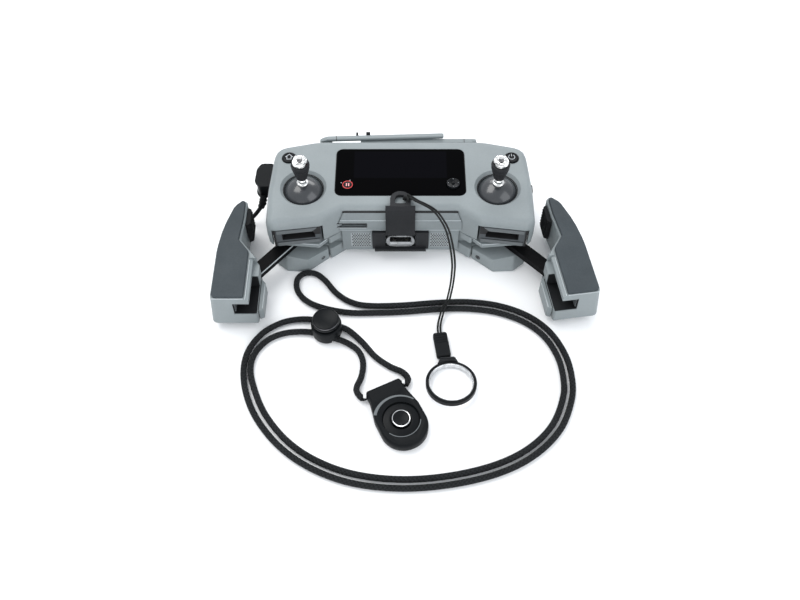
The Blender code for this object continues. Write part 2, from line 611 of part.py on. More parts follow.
def grip(side, frame):
    pivot = (-side * WRIST.x, WRIST.y, ARM_Z[0])

    def fit(piece):
        hang(piece, pivot, frame)
        if side > 0:
            piece.rotation_euler.z = RIGHT_TURN

    def shell_plan(flare, lean):
        """The shell is wider and longer at the bottom: its outer side flares and its near end leans."""
        return flipped(side, [
            (-76.3, -69.6 - lean, 1.2), (-76.3, -44.2, 2), (-80.9, -38.4, 3), (-87.3, -30.3, 2), (-86.1, -15, 4),
            (-86.2, -3.6, 1.2), (-88.4, -1.7, 1.5), (-93.4, -6.6, 6), (-98 - flare * 0.4, -21.6, 40),
            (-99.8 - flare * 0.7, -36, 40), (-99.8 - flare, -69.6 - lean, 3)])
    shell = stack(named(side, "grip_shell"), [
        (GRIP_Z[0], inset(shell_plan(2.0, 1.0), 0.8)), (GRIP_Z[0] + 1.4, shell_plan(2.0, 1.0)),
        (GRIP_Z[1] - 0.5, shell_plan(0, 0)), (GRIP_Z[1], inset(shell_plan(0, 0), 0.4))], "shell_grey")
    low, high = PHONE_SLOT
    x = sorted((-side * low[0], -side * high[0]))
    cut(shell, box(named(side, "phone_slot"), (x[0], low[1], low[2]), (x[1], high[1], high[2])))
    slope = [(-side * sx, sz) for sx, sz in ((-81.9, 27.2), (-81.9, 26.6), (-79.6, 25.4), (-79.6, 22.2), (-74.0, 22.2),
                                             (-74.0, 27.2))]
    bm = bmesh.new()
    ends = [[bm.verts.new((sx * MM, sy * MM, sz * MM)) for sx, sz in slope] for sy in (-75, -42.5)]
    bm.faces.new(ends[0])
    bm.faces.new(ends[1])
    for i in range(6):
        bm.faces.new((ends[0][i], ends[0][(i + 1) % 6], ends[1][(i + 1) % 6], ends[1][i]))
    cut(shell, add_object(named(side, "inner_slope"), bm, None))
    heading = math.atan2(SHOULDER.y - WRIST.y, SHOULDER.x - WRIST.x)
    reach = WRIST + 5.6 * Vector((math.cos(heading), math.sin(heading)))
    turn = heading if side < 0 else math.pi - heading
    cut(shell, turned_box(named(side, "wrist_bay"), (-side * reach.x, reach.y, sum(BAY_Z) / 2),
                          (22.0, 11.6, BAY_Z[1] - BAY_Z[0]), turn))
    cut(shell, prism(named(side, "wrist_bore"), circle(2.2, pivot[:2], 16), 7.2, 17.6))
    fit(shell)

    cover_plan = flipped(side, [
        (-82.0, -68.9, 1), (-82.0, -38.9, 3), (-88.2, -30.8, 2), (-87.0, -15, 4), (-87.1, -4.3, 1.2),
        (-88.6, -2.9, 1.2), (-92.9, -7.4, 5.5), (-97.3, -22.0, 40), (-99.1, -36, 40), (-99.1, -68.9, 2.4)])
    cover = stack(named(side, "grip_cover"), [(GRIP_Z[1] + GAP, cover_plan), (GRIP_TOP - 0.4, cover_plan),
                                              (GRIP_TOP, inset(cover_plan, 0.4))], "cover_slate")
    fit(cover)

    jaw_plan = flipped(side, [(-73.6, -66.8, 1.2), (-73.6, -50.0, 1.2), (-76.0, -47.0, 0), (-76.0, -67.6, 0)])
    fit(prism(named(side, "grip_jaw"), jaw_plan, 4.8, 13.2, "shell_grey"))

    pad_plan = flipped(side, [(-83.4, -17.8, 1), (-83.6, -7.4, 1.5), (-85.8, -6.6, 0), (-85.8, -19.2, 0)])
    fit(prism(named(side, "grip_pad"), pad_plan, 10, 25.4, "pad_rubber"))


# ---------------------------------------------------------------- lanyard


def lanyard_bracket():
    plate = prism("lanyard_bracket", rectangle((-15.8, -22.4), (15.8, -20.4)), 8.4, 22.7, "bracket_plastic")
    join(plate, box("bracket_flange", (-14.5, -24.2, 8.2), (14.5, -20.4, 10.0)))
    strap = [(-22.4, 20.2), (-23.2, 20.8), (-23.2, 30.6), (-21.4, 36.6), (-20.6, 39.8), (-18.8, 41.4),
             (-13.0, 41.4), (-13.0, 39.4), (-16.4, 39.4), (-18.9, 37.7), (-19.5, 36.1), (-21.2, 30.2),
             (-21.2, 20.2)]
    join(plate, profile_x("bracket_strap", strap, -8.1, 8.1))
    # Above the edge of the housing the strap narrows to the round eye.
    eye = circle(5.6, (0, -13.6), 24)
    for side in (-1, 1):
        x = sorted((side * 5.6, side * 9.0))
        cut(plate, box(named(side, "eye_shoulder"), (x[0], -18.4, 38.5), (x[1], -5, 45)))
    join(plate, prism("bracket_eye", eye, 39.4, 41.4))
    cut(plate, prism("eye_hole", rounded([(-2.9, -16.6, 0.6), (2.9, -16.6, 0.6), (2.9, -10.6, 2.6),
                                          (-2.9, -10.6, 2.6)]), 37, 45))
    cut(plate, box("bracket_port_hole", (-8.5, -30, 10.9), (8.5, -10, 21.6)))
    return plate


def usb_port():
    port = box("usb_port", (-8.0, -23.3, 11.4), (8.0, -11.5, 21.1), "bright_metal")
    cut(port, box("port_mouth", (-6.2, -30, 14.9), (6.2, -14.5, 20.4)))
    return join(port, box("port_tongue", (-5.2, -21.8, 17.9), (5.2, -14.0, 19.2)))


def tether():
    cord("tether_cord", tether_path(), TETHER_D, 3.1)
    sleeve_axis = [(21.2, -75.5), (23.2, -90.0)]
    start, end = (Vector(p) for p in sleeve_axis)
    turn = math.atan2(end.y - start.y, end.x - start.x)
    middle = (start + end) / 2
    sleeve = turned_box("tether_sleeve", (*middle, 2.05), ((end - start).length, 7.6, 3.5), turn, "pad_rubber")
    mouth = start + (end - start).normalized() * 2.0
    cut(sleeve, turned_box("sleeve_socket", (*mouth, 2.1), (11.0, 4.8, 2.2), turn))
    clip = rounded([(18.9, -97.0, 0.4), (31.6, -96.0, 0.4), (28.6, -90.6, 0.8), (21.0, -91.2, 0.8)])
    clasp = prism("ring_clip", clip, 0.4, 4.2, "bracket_plastic")
    cut(clasp, prism("clasp_hollow", circle(13.3 + GAP, RING_CENTRE, 40), -1, 6))
    low = 0.35 + 13.3 * math.sin(RING_LIFT)
    ring = stack("tether_ring", [(low, circle(12.9, RING_CENTRE, 40)), (low + 0.5, circle(13.3, RING_CENTRE, 40)),
                                 (low + 2.9, circle(13.3, RING_CENTRE, 40)),
                                 (low + 3.4, circle(12.9, RING_CENTRE, 40))], "bright_metal")
    cut(ring, prism("ring_bore", circle(11.1, RING_CENTRE, 40), -1, 8))
    hang(ring, (*RING_CENTRE, low))
    ring.rotation_euler.x = -RING_LIFT


def tether_path():
    """Down one strand to the sleeve, round inside it, and back up beside the first strand."""
    down = [Vector(p) for p in TETHER_ROUTE]
    shift = Vector((1.5, 0.3, 0))
    turn = down[-1] + Vector((0.75, -1.6, 0))
    return down + [turn] + [p + shift for p in reversed(down)]


def lead():
    """Phone lead with its angled connector in the left side of the housing."""
    corners = [(-74.3, 8.9, 0.6), (-74.3, 25, 1), (-80.6, 25.2, 2.5), (-82.6, 21, 3), (-83.0, 12, 3), (-81.4, 8.8, 2)]
    outline = rounded(corners[::-1])
    stack("lead_connector", [(17.6, inset(outline, 0.8)), (18.6, outline), (26.2, outline),
                             (27.0, inset(outline, 0.8))], "button_black")
    cord("phone_lead", LEAD_ROUTE, LEAD_D, 5.0)
    plug = box("lead_plug", (-97.6, -38, 0.4), (-91.0, -24.05, 3.7), "button_black")
    join(plug, box("plug_tip", (-96.4, -44.4, 1.3), (-92.2, -37, 2.8)))


def neck_strap():
    cord("neck_cord", NECK_ROUTE, NECK_D, 6.0)
    lock = stack("cord_lock", [(0.3, circle(6.8, LOCK_CENTRE)), (1.6, circle(8.0, LOCK_CENTRE)),
                               (9.2, circle(8.2, LOCK_CENTRE)), (9.6, circle(7.8, LOCK_CENTRE))], "button_black")
    across = Vector((-math.sin(LOCK_TURN), math.cos(LOCK_TURN)))
    for name, offset in (("upper_strand", 3.9), ("lower_strand", -3.9)):
        middle = Vector(LOCK_CENTRE) + across * offset
        cut(lock, turned_box(name, (*middle, 1.6), (24, 5.1, 5.4), LOCK_TURN))  # open to below
    button = stack("cord_lock_button", [(10.9, circle(6.9, LOCK_CENTRE)), (11.4, circle(7.4, LOCK_CENTRE)),
                                        (13.0, circle(7.4, LOCK_CENTRE)), (13.6, circle(6.6, LOCK_CENTRE))],
                   "button_black")
    join(button, prism("lock_stem", circle(3.0, LOCK_CENTRE, 16), 8.3, 11.7))
    cut(lock, prism("stem_hole", circle(3.4, LOCK_CENTRE, 16), 6.8, 14))
    hang(button, (*LOCK_CENTRE, 10.9))

    spin = Matrix.Rotation(BUCKLE_TURN, 2)

    def placed(points):
        return [spin @ Vector(p) + BUCKLE_TOP for p in points]
    plan = placed(rounded([(-9.8, 0, 0.8), (-9.9, -6, 4), (-12.4, -17, 8), (-12.4, -37.4, 12.0),
                           (12.4, -37.4, 12.0), (12.4, -17, 8), (9.9, -6, 4), (9.8, 0, 0.8)], 15))
    body = stack("buckle_body", [(0.35, inset(plan, 0.6)), (1.1, plan), (5.6, plan), (6.2, inset(plan, 0.6))],
                 "button_black")
    centre = placed([(0, -22.0)])[0]
    cut(body, prism("disc_recess", circle(9.4, centre, 32), 4.4, 9))
    cut(body, prism("button_well", circle(5.0, centre, 24), 2.6, 9))
    release = stack("buckle_button", [(3.9, circle(4.7, centre)), (6.6, circle(4.7, centre)),
                                      (7.0, circle(4.2, centre))], "button_black")
    hang(release, (*centre, 3.9))


# ---------------------------------------------------------------- build


def build():
    clear_scene()
    top_shell()
    bottom_shell()
    front_panel()
    rear_block()
    inside_parts()
    screen()
    buttons()
    antennas()
    for side in (-1, 1):
        pocket(side)
        front_foot(side)
        gimbal(side)
        frame = grip_frame(side)
        arm(side, frame)
        grip(side, frame)
    lanyard_bracket()
    usb_port()
    tether()
    lead()
    neck_strap()


build()
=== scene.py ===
"""Looks of the folding two-stick radio transmitter, its tether and its neck cord.

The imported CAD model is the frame. Shapes that the CAD carries well keep their
nodes and get worn edges and a material; turned, moulded and braided pieces are
built here in finer detail and stand for their nodes. Helpers work in
millimetres, in the frame's own axes, and MM turns them into metres.
"""

import json
import math

import bmesh
import bpy
from mathutils import Matrix, Vector


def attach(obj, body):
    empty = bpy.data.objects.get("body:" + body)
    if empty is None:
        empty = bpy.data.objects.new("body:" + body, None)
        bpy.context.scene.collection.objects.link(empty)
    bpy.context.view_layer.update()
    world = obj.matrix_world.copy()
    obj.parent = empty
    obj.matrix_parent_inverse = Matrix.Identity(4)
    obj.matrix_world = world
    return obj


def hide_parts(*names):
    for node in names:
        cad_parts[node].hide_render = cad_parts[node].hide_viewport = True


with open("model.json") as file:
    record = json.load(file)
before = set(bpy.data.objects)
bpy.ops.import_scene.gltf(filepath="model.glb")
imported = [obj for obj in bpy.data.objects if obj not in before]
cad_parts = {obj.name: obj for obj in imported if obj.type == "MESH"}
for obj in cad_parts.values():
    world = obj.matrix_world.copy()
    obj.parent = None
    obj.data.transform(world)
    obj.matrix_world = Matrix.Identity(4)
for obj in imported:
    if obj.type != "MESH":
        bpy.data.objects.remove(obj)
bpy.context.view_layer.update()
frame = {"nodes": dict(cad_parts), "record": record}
NODES = frame["nodes"]

MM = 0.001
SIDES = (-1, 1)

# Places shared with the CAD model
STICK_X, STICK_Y, STICK_Z = 53.7, -3.2, 30.0
SHOULDER = Vector((-57.6, -15.4))
WRIST = Vector((-83.0, -46.0))
RIGHT_SPLAY = math.radians(4.7)
RIGHT_TURN = math.radians(3.5)
LEFT_HINGE = (-44.6, 35.75)
RIGHT_HINGE = (42.9, 35.95)
LEFT_SWING = math.radians(2.2)
RING_CENTRE = (26.4, -106.7)
RING_LIFT = math.radians(6.0)
LOCK_CENTRE = (-39.8, -73.2)
LOCK_TURN = math.radians(-17.0)
BUCKLE_TOP = Vector((-9.3, -108.3))
BUCKLE_TURN = math.radians(26.0)
NECK_D, TETHER_D, LEAD_D = 3.3, 1.1, 2.4

LEAD_ROUTE = [
    (-79.0, 7.3, 20.6), (-79.2, 6.2, 18.6), (-79.9, 5.2, 16.0), (-81.4, 4.4, 13.0),
    (-84.0, 3.4, 9.4), (-86.8, 2.8, 6.0), (-89.4, 1.7, 3.4), (-91.2, -0.4, 1.7),
    (-92.4, -4.0, 1.4), (-93.2, -9.0, 1.4), (-93.9, -14.5, 1.6), (-94.2, -19.5, 2.1),
    (-94.3, -23.7, 2.1),
]
TETHER_ROUTE = [
    (5.0, -13.9, 43.0), (8.4, -17.2, 43.6), (12.6, -20.3, 44.2), (17.4, -24.6, 44.6),
    (21.0, -30.6, 44.6), (24.1, -38.0, 43.8), (26.1, -47.2, 41.0), (27.0, -53.6, 36.4),
    (27.0, -55.6, 29.0), (26.8, -55.5, 20.0), (26.2, -55.6, 12.0), (25.2, -57.2, 6.6),
    (22.9, -60.8, 5.1), (21.7, -64.4, 3.2), (20.5, -69.0, 1.9), (20.3, -74.0, 2.2),
    (21.2, -79.0, 2.2),
]
NECK_ROUTE = [
    (2.7, -106.9, 2.6), (4.0, -103.0, 2.2), (0.8, -98.8, 1.9), (-5.6, -95.6, 1.9),
    (-13.6, -89.4, 1.9), (-20.6, -80.6, 1.9), (-28.0, -73.4, 2.1), (-34.0, -70.6, 2.3),
    (-41.6, -68.3, 2.3), (-49.0, -66.2, 2.1), (-57.0, -66.2, 1.9), (-65.6, -68.6, 1.9),
    (-74.6, -75.0, 1.9), (-81.0, -85.4, 1.9), (-82.6, -97.8, 1.9), (-79.6, -112.4, 1.9),
    (-72.4, -127.0, 1.9), (-60.0, -141.6, 1.9), (-44.0, -152.8, 1.9), (-24.0, -160.4, 1.9),
    (0.0, -163.2, 1.9), (25.0, -161.2, 1.9), (48.8, -155.2, 1.9), (67.0, -145.6, 1.9),
    (80.8, -131.8, 1.9), (88.2, -115.4, 1.9), (89.8, -102.6, 1.9), (87.8, -88.4, 1.9),
    (81.0, -74.2, 1.9), (70.0, -63.8, 1.9), (55.0, -57.2, 1.9), (38.6, -54.6, 1.9),
    (22.0, -54.9, 1.9), (0.0, -56.8, 1.9), (-18.0, -57.0, 1.9), (-28.0, -54.4, 1.9),
    (-36.0, -48.4, 1.9), (-42.4, -40.0, 1.9), (-48.2, -35.2, 1.9), (-54.4, -35.1, 1.9),
    (-58.2, -39.4, 1.9), (-57.6, -46.8, 1.9), (-52.4, -53.6, 1.9), (-43.0, -58.4, 1.9),
    (-28.4, -61.6, 1.9), (-12.0, -61.8, 1.9), (4.0, -61.0, 1.9), (22.0, -59.3, 1.9),
    (37.8, -59.2, 1.9), (53.4, -61.6, 1.9), (67.6, -67.8, 1.9), (77.6, -77.0, 1.9),
    (83.6, -89.6, 1.9), (85.3, -102.6, 1.9), (83.8, -114.4, 1.9), (76.8, -129.6, 1.9),
    (64.0, -142.2, 1.9), (46.8, -151.0, 1.9), (24.2, -156.7, 1.9), (0.0, -158.6, 1.9),
    (-23.0, -155.8, 1.9), (-42.0, -148.6, 1.9), (-56.8, -138.2, 1.9), (-68.4, -124.4, 1.9),
    (-75.2, -110.8, 1.9), (-79.0, -97.6, 1.9), (-77.5, -87.4, 1.9), (-71.2, -79.1, 1.9),
    (-62.0, -74.8, 1.9), (-51.0, -74.2, 2.1), (-43.0, -76.0, 2.3), (-35.4, -78.4, 2.3),
    (-28.6, -81.2, 2.1), (-22.6, -86.0, 1.9), (-19.8, -93.0, 1.9), (-20.4, -101.4, 1.9),
    (-22.8, -108.4, 2.1), (-21.9, -112.2, 2.4), (-19.4, -115.0, 2.6),
]


# ---------------------------------------------------------------- materials


class Shader:
    """Short names for building one node material."""

    def __init__(self, name):
        self.material = bpy.data.materials.new(name)
        self.material.use_nodes = True
        self.tree = self.material.node_tree
        self.out = self.tree.nodes["Principled BSDF"]

    def node(self, kind, settings=None, **inputs):
        made = self.tree.nodes.new("ShaderNode" + kind)
        for key, value in (settings or {}).items():
            setattr(made, key, value)
        for key, value in inputs.items():
            self.set(made, key, value)
        return made

    def set(self, node, key, value):
        numbered = key[0] == "i" and key[1:].isdigit()
        socket = node.inputs[int(key[1:]) if numbered else key.replace("_", " ")]
        if isinstance(value, bpy.types.NodeSocket):
            self.tree.links.new(value, socket)
        else:
            socket.default_value = value

    def math(self, operation, a, b=0.0):
        return self.node("Math", {"operation": operation}, i0=a, i1=b).outputs[0]

    def place(self, scale=(1, 1, 1)):
        """Object coordinates in millimetres, stretched by a scale."""
        where = self.node("TexCoord").outputs["Object"]
        return self.node("Mapping", Vector=where, Scale=[s / MM for s in scale]).outputs[0]

    def noise(self, vector, scale, detail=2.0, rough=0.5):
        return self.node("TexNoise", Vector=vector, Scale=scale, Detail=detail,
                         Roughness=rough).outputs["Fac"]

    def spread(self, value, low, high, start=0.0, end=1.0):
        return self.node("MapRange", Value=value, From_Min=start, From_Max=end, To_Min=low,
                         To_Max=high).outputs[0]

    def tint(self, colour, factor):
        """A colour made lighter or darker by a factor socket."""
        return self.node("Mix", {"data_type": "RGBA", "blend_type": "MULTIPLY"},
                         i0=1.0, i6=(*colour, 1), i7=factor).outputs[2]

    def blend(self, factor, a, b):
        made = self.node("Mix", {"data_type": "RGBA"}, i0=factor)
        for index, value in ((6, a), (7, b)):
            self.set(made, f"i{index}", (*value, 1) if isinstance(value, tuple) else value)
        return made.outputs[2]

    def bump(self, height, depth, before=None):
        made = self.node("Bump", Height=height, Distance=depth * MM, Strength=1.0)
        if before is not None:
            self.set(made, "Normal", before)
        return made.outputs[0]


def moulded(name, colour, roughness, grain=0.25, depth=0.02, mottle=0.05, metallic=0.0, coat=0.0,
            scuffs=0.15, shine=0.5):
    """Moulded plastic, rubber or paint: fine grain, faint mottling, uneven gloss and a few scuffs."""
    s = Shader(name)
    at = s.place()
    cloud = s.noise(at, 0.045, 3.0)
    fine = s.noise(at, 0.9, 2.0)
    shade = s.math("MULTIPLY", s.spread(cloud, 1 - mottle, 1 + mottle, 0.3, 0.7),
                   s.spread(fine, 1 - mottle * 0.5, 1 + mottle * 0.5, 0.3, 0.7))
    scratch = s.noise(s.place((0.35, 1.7, 0.9)), 1.1, 5.0, 0.7)
    mark = s.spread(scratch, 0.0, scuffs, 0.66, 0.76)
    light = tuple(min(1.0, c * 1.6 + 0.03) for c in colour)
    s.set(s.out, "Base Color", s.blend(mark, s.tint(colour, shade), light))
    gloss = s.spread(s.noise(at, 0.12, 4.0), roughness * 0.88, roughness * 1.14, 0.3, 0.7)
    s.set(s.out, "Roughness", s.math("ADD", gloss, s.math("MULTIPLY", mark, 0.25)))
    s.set(s.out, "Metallic", metallic)
    s.set(s.out, "Specular IOR Level", shine)
    s.set(s.out, "Coat Weight", coat)
    s.set(s.out, "Coat Roughness", 0.08)
    cells = s.node("TexVoronoi", {"feature": "SMOOTH_F1"}, Vector=at, Scale=1 / grain,
                   Smoothness=0.6).outputs["Distance"]
    pits = s.bump(cells, depth)
    s.set(s.out, "Normal", s.bump(s.noise(at, 0.35, 2.0), depth * 0.8, pits))
    return s.material


def polished(name, colour, roughness, lines=(0.4, 0.4, 9.0), depth=0.004):
    """Bare metal with turning or brushing lines, smudges and a little darkening."""
    s = Shader(name)
    at = s.place()
    brushed = s.noise(s.place(lines), 1.6, 3.0, 0.6)
    smudge = s.noise(at, 0.4, 4.0)
    s.set(s.out, "Base Color", s.tint(colour, s.spread(smudge, 0.82, 1.05, 0.35, 0.65)))
    s.set(s.out, "Metallic", 1.0)
    s.set(s.out, "Roughness", s.math("ADD", s.spread(smudge, roughness * 0.7, roughness * 1.5, 0.3, 0.7),
                                     s.spread(brushed, -0.03, 0.05, 0.3, 0.7)))
    s.set(s.out, "Normal", s.bump(brushed, depth))
    return s.material


def woven(name, colour, pitch, strands, depth, plaits=True, roughness=0.82):
    """A cord along U, round V: crossing strands, or one twist, each with its own fibres."""
    s = Shader(name)
    uv = s.node("TexCoord").outputs["UV"]
    split = s.node("SeparateXYZ", Vector=uv)
    along = s.math("MULTIPLY", split.outputs[0], pitch)
    around = s.math("MULTIPLY", split.outputs[1], strands)
    one = s.math("ADD", along, around)
    other = s.math("SUBTRACT", along, around)
    ridge_one = s.math("ABSOLUTE", s.math("SINE", s.math("MULTIPLY", one, math.pi)))
    ridge_other = s.math("ABSOLUTE", s.math("SINE", s.math("MULTIPLY", other, math.pi)))
    if plaits:
        parity = s.math("PINGPONG", s.math("ADD", s.math("FLOOR", one), s.math("FLOOR", other)), 1.0)
        height = s.math("ADD", s.math("MULTIPLY", ridge_one, parity),
                        s.math("MULTIPLY", ridge_other, s.math("SUBTRACT", 1.0, parity)))
    else:
        height = ridge_one
    stretched = s.node("Mapping", Vector=uv, Scale=(40, 90, 1)).outputs[0]
    fibre = s.noise(stretched, 1.0, 3.0, 0.7)
    at = s.place()
    # Painted shade: the colour is darkened in the grooves between strands and lightened on their crowns by
    # the ridge height; the fibres and a faint cloud vary the tone at random.
    shade = s.math("MULTIPLY", s.spread(height, 0.25, 1.5), s.spread(fibre, 0.7, 1.4, 0.3, 0.7))
    crease_shade_and_tone = s.math("MULTIPLY", shade, s.spread(s.noise(at, 0.06, 3.0), 0.85, 1.2, 0.3, 0.7))
    s.set(s.out, "Base Color", s.tint(colour, crease_shade_and_tone))
    s.set(s.out, "Roughness", roughness)
    s.set(s.out, "Specular IOR Level", 0.12)
    s.set(s.out, "Sheen Weight", 0.05)
    s.set(s.out, "Sheen Roughness", 0.4)
    ribs = s.bump(height, depth)
    s.set(s.out, "Normal", s.bump(fibre, depth * 0.15, ribs))
    return s.material


def screen_material(name):
    """Black glass: a display area a shade lighter than its border, with faint smears of grease."""
    s = Shader(name)
    at = s.place()
    part = s.node("SeparateXYZ", Vector=at)
    inside_x = s.math("LESS_THAN", s.math("ABSOLUTE", part.outputs[0]), 26.0)
    inside_y = s.math("LESS_THAN", s.math("ABSOLUTE", s.math("SUBTRACT", part.outputs[1], 13.4)), 10.0)
    shown = s.math("MULTIPLY", inside_x, inside_y)
    sweep = s.noise(s.place((0.5, 1.4, 1)), 0.08, 4.0, 0.6)
    s.set(s.out, "Base Color", s.blend(shown, (0.0012, 0.0012, 0.0014), (0.0022, 0.0022, 0.0032)))
    s.set(s.out, "Roughness", s.spread(sweep, 0.02, 0.11, 0.45, 0.75))
    s.set(s.out, "Specular IOR Level", 0.02)
    s.set(s.out, "Coat Weight", 0.0)
    s.set(s.out, "Normal", s.bump(s.noise(at, 0.02, 1.0), 0.01))
    return s.material


# Printed colour with a painted glow: a weak emission lights it though it is no lamp.
def glowing(name, colour, strength):
    s = Shader(name)
    cloud = s.noise(s.place(), 1.3, 3.0)
    s.set(s.out, "Base Color", s.tint(colour, s.spread(cloud, 0.85, 1.1, 0.3, 0.7)))
    s.set(s.out, "Emission Color", (*colour, 1))
    s.set(s.out, "Emission Strength", strength)
    s.set(s.out, "Roughness", 0.4)
    return s.material


SHELL = (0.196, 0.223, 0.231)
MATERIALS = {
    "shell_grey": moulded("shell_grey", SHELL, 0.50, 0.22, 0.020, 0.045),
    "panel_grey": moulded("panel_grey", (0.175, 0.200, 0.208), 0.52, 0.22, 0.020, 0.05),
    "cover_slate": moulded("cover_slate", (0.041, 0.050, 0.056), 0.66, 0.42, 0.060, 0.08, shine=0.2),
    "pocket_rubber": moulded("pocket_rubber", (0.052, 0.060, 0.066), 0.60, 0.30, 0.030, 0.08),
    "pad_rubber": moulded("pad_rubber", (0.008, 0.009, 0.010), 0.68, 0.30, 0.040, 0.10, shine=0.12),
    "lead_rubber": moulded("lead_rubber", (0.006, 0.006, 0.007), 0.48, 0.25, 0.015, 0.10, shine=0.1),
    "button_black": moulded("button_black", (0.005, 0.006, 0.007), 0.32, 0.20, 0.006, 0.08, shine=0.1),
    "satin_black": moulded("satin_black", (0.006, 0.007, 0.008), 0.42, 0.35, 0.010, 0.08, shine=0.08),
    "dome_gloss": moulded("dome_gloss", (0.024, 0.027, 0.031), 0.24, 0.20, 0.004, 0.06, coat=0.45,
                          scuffs=0.05),
    "arm_metal": moulded("arm_metal", (0.003, 0.003, 0.0035), 0.50, 0.18, 0.006, 0.10, shine=0.06),
    "bracket_plastic": moulded("bracket_plastic", (0.016, 0.017, 0.019), 0.55, 0.30, 0.030, 0.10,
                               shine=0.15),
    "board_green": moulded("board_green", (0.010, 0.060, 0.028), 0.40, 0.50, 0.020, 0.10),
    "inner_grey": moulded("inner_grey", (0.035, 0.036, 0.038), 0.50, 0.40, 0.020, 0.08),
    # Near black for seams and joints, and for painted shade in slots, pockets and gaps.
    "seam_and_shade_dark": moulded("seam_and_shade_dark", (0.006, 0.006, 0.007), 0.70, 0.30, 0.010, 0.08),
    # A mid grey that paints light on ledges and ribs in dark recesses and on the buckle's crescents.
    "painted_lit_grey": moulded("painted_lit_grey", (0.10, 0.112, 0.118), 0.58, 0.30, 0.020, 0.06),
    "grille_grey": moulded("grille_grey", (0.30, 0.33, 0.34), 0.52, 0.25, 0.010, 0.05),
    # A pale grey for painted highlights: thin strips on edges, rims and lips that stand in for light
    # caught there.
    "painted_edge_highlight": moulded("painted_edge_highlight", (0.40, 0.44, 0.455), 0.50, 0.25, 0.010, 0.05),
    "cap_white": moulded("cap_white", (0.62, 0.63, 0.63), 0.40, 0.30, 0.008, 0.05),
    "icon_white": moulded("icon_white", (0.42, 0.44, 0.46), 0.50, 0.30, 0.004, 0.08),
    "bright_metal": polished("bright_metal", (0.80, 0.80, 0.79), 0.16),
    "ring_steel": polished("ring_steel", (0.66, 0.67, 0.68), 0.20, (0.3, 0.3, 6.0)),
    "dark_steel": polished("dark_steel", (0.10, 0.10, 0.105), 0.30),
    "contact_gold": polished("contact_gold", (0.78, 0.56, 0.24), 0.25),
    "port_steel": polished("port_steel", (0.34, 0.35, 0.36), 0.34, (4.0, 0.5, 0.5)),
    "screen_glass": screen_material("screen_glass"),
    "cord_fabric": woven("cord_fabric", (0.011, 0.012, 0.013), 1.5, 5, 0.30),
    "tether_fabric": woven("tether_fabric", (0.010, 0.011, 0.011), 2.4, 3, 0.07, plaits=False,
                           roughness=0.6),
    # The pause icons: printed red and pink, with a painted glow.
    "icon_red_glow": glowing("icon_red_glow", (0.42, 0.020, 0.022), 0.35),
    "icon_pink_glow": glowing("icon_pink_glow", (0.70, 0.30, 0.31), 0.35),
}


# ---------------------------------------------------------------- shapes


def rounded(corners, step=7.5):
    """Outline through (x, y, radius) corners, each rounded by an arc of its radius."""
    points = []
    count = len(corners)
    for i, (x, y, radius) in enumerate(corners):
        here = Vector((x, y))
        back = (Vector(corners[i - 1][:2]) - here).normalized()
        ahead = (Vector(corners[(i + 1) % count][:2]) - here).normalized()
        turn = math.pi - back.angle(ahead)
        if radius < 0.02 or turn < 0.02:
            points.append(here)
            continue
        run = radius * math.tan(turn / 2)
        centre = here + (back + ahead).normalized() * radius / math.cos(turn / 2)
        start = here + back * run - centre
        sign = 1 if start.cross(here + ahead * run - centre) > 0 else -1
        pieces = max(1, round(math.degrees(turn) / step))
        for k in range(pieces + 1):
            points.append(centre + Matrix.Rotation(sign * turn * k / pieces, 2) @ start)
    return points


def inset(outline, distance):
    moved = []
    count = len(outline)
    for i, point in enumerate(outline):
        before = (point - outline[i - 1]).normalized()
        after = (outline[(i + 1) % count] - point).normalized()
        normal = Vector((-before.y - after.y, before.x + after.x)).normalized()
        moved.append(point + normal * distance / max(0.5, normal.dot(Vector((-before.y, before.x)))))
    return moved


def mirrored(side, corners):
    """Rounded corners given for the right half, for the asked side, anticlockwise."""
    return rounded(corners if side > 0 else [(-x, y, r) for x, y, r in reversed(corners)])


def circle(radius, centre=(0, 0), sides=64):
    turn = 2 * math.pi / sides
    return [Vector((centre[0] + radius * math.cos(i * turn), centre[1] + radius * math.sin(i * turn)))
            for i in range(sides)]


def rectangle(low, high, radius=0.0):
    (x0, y0), (x1, y1) = low, high
    return rounded([(x0, y0, radius), (x1, y0, radius), (x1, y1, radius), (x0, y1, radius)])


def mesh_object(name, bm, sharp=32):
    bmesh.ops.recalc_face_normals(bm, faces=bm.faces)
    mesh = bpy.data.meshes.new(name)
    bm.to_mesh(mesh)
    bm.free()
    mesh.shade_smooth()
    mesh.set_sharp_from_angle(angle=math.radians(sharp))
    obj = bpy.data.objects.new(name, mesh)
    bpy.context.collection.objects.link(obj)
    return obj


def stack(name, levels, closed=True, sharp=32):
    """A solid from outlines with equal point counts; levels holds (z, outline) from one end to the other.
    Closed joins its ends with faces; otherwise the last level joins the first, which makes a ring."""
    bm = bmesh.new()
    rings = [[bm.verts.new((p[0] * MM, p[1] * MM, z * MM)) for p in outline] for z, outline in levels]
    if closed:
        bm.faces.new(rings[0])
        bm.faces.new(rings[-1])
        pairs = zip(rings, rings[1:])
    else:
        pairs = zip(rings, rings[1:] + rings[:1])
    for low, high in pairs:
        for i in range(len(low)):
            j = (i + 1) % len(low)
            bm.faces.new((low[i], low[j], high[j], high[i]))
    return mesh_object(name, bm, sharp)


def prism(name, outline, z0, z1, edge=0.0):
    if edge:
        steps = [(0, 1), (0.3, 0.3), (1, 0)]
        low = [(z0 + a * edge, inset(outline, b * edge)) for a, b in steps]
        high = [(z1 - a * edge, inset(outline, b * edge)) for a, b in reversed(steps)]
        return stack(name, low + high)
    return stack(name, [(z0, outline), (z1, outline)])


def lathe(name, profile, centre=(0, 0), sides=64, closed=True):
    return stack(name, [(z, circle(max(r, 0.01), centre, sides)) for r, z in profile], closed)


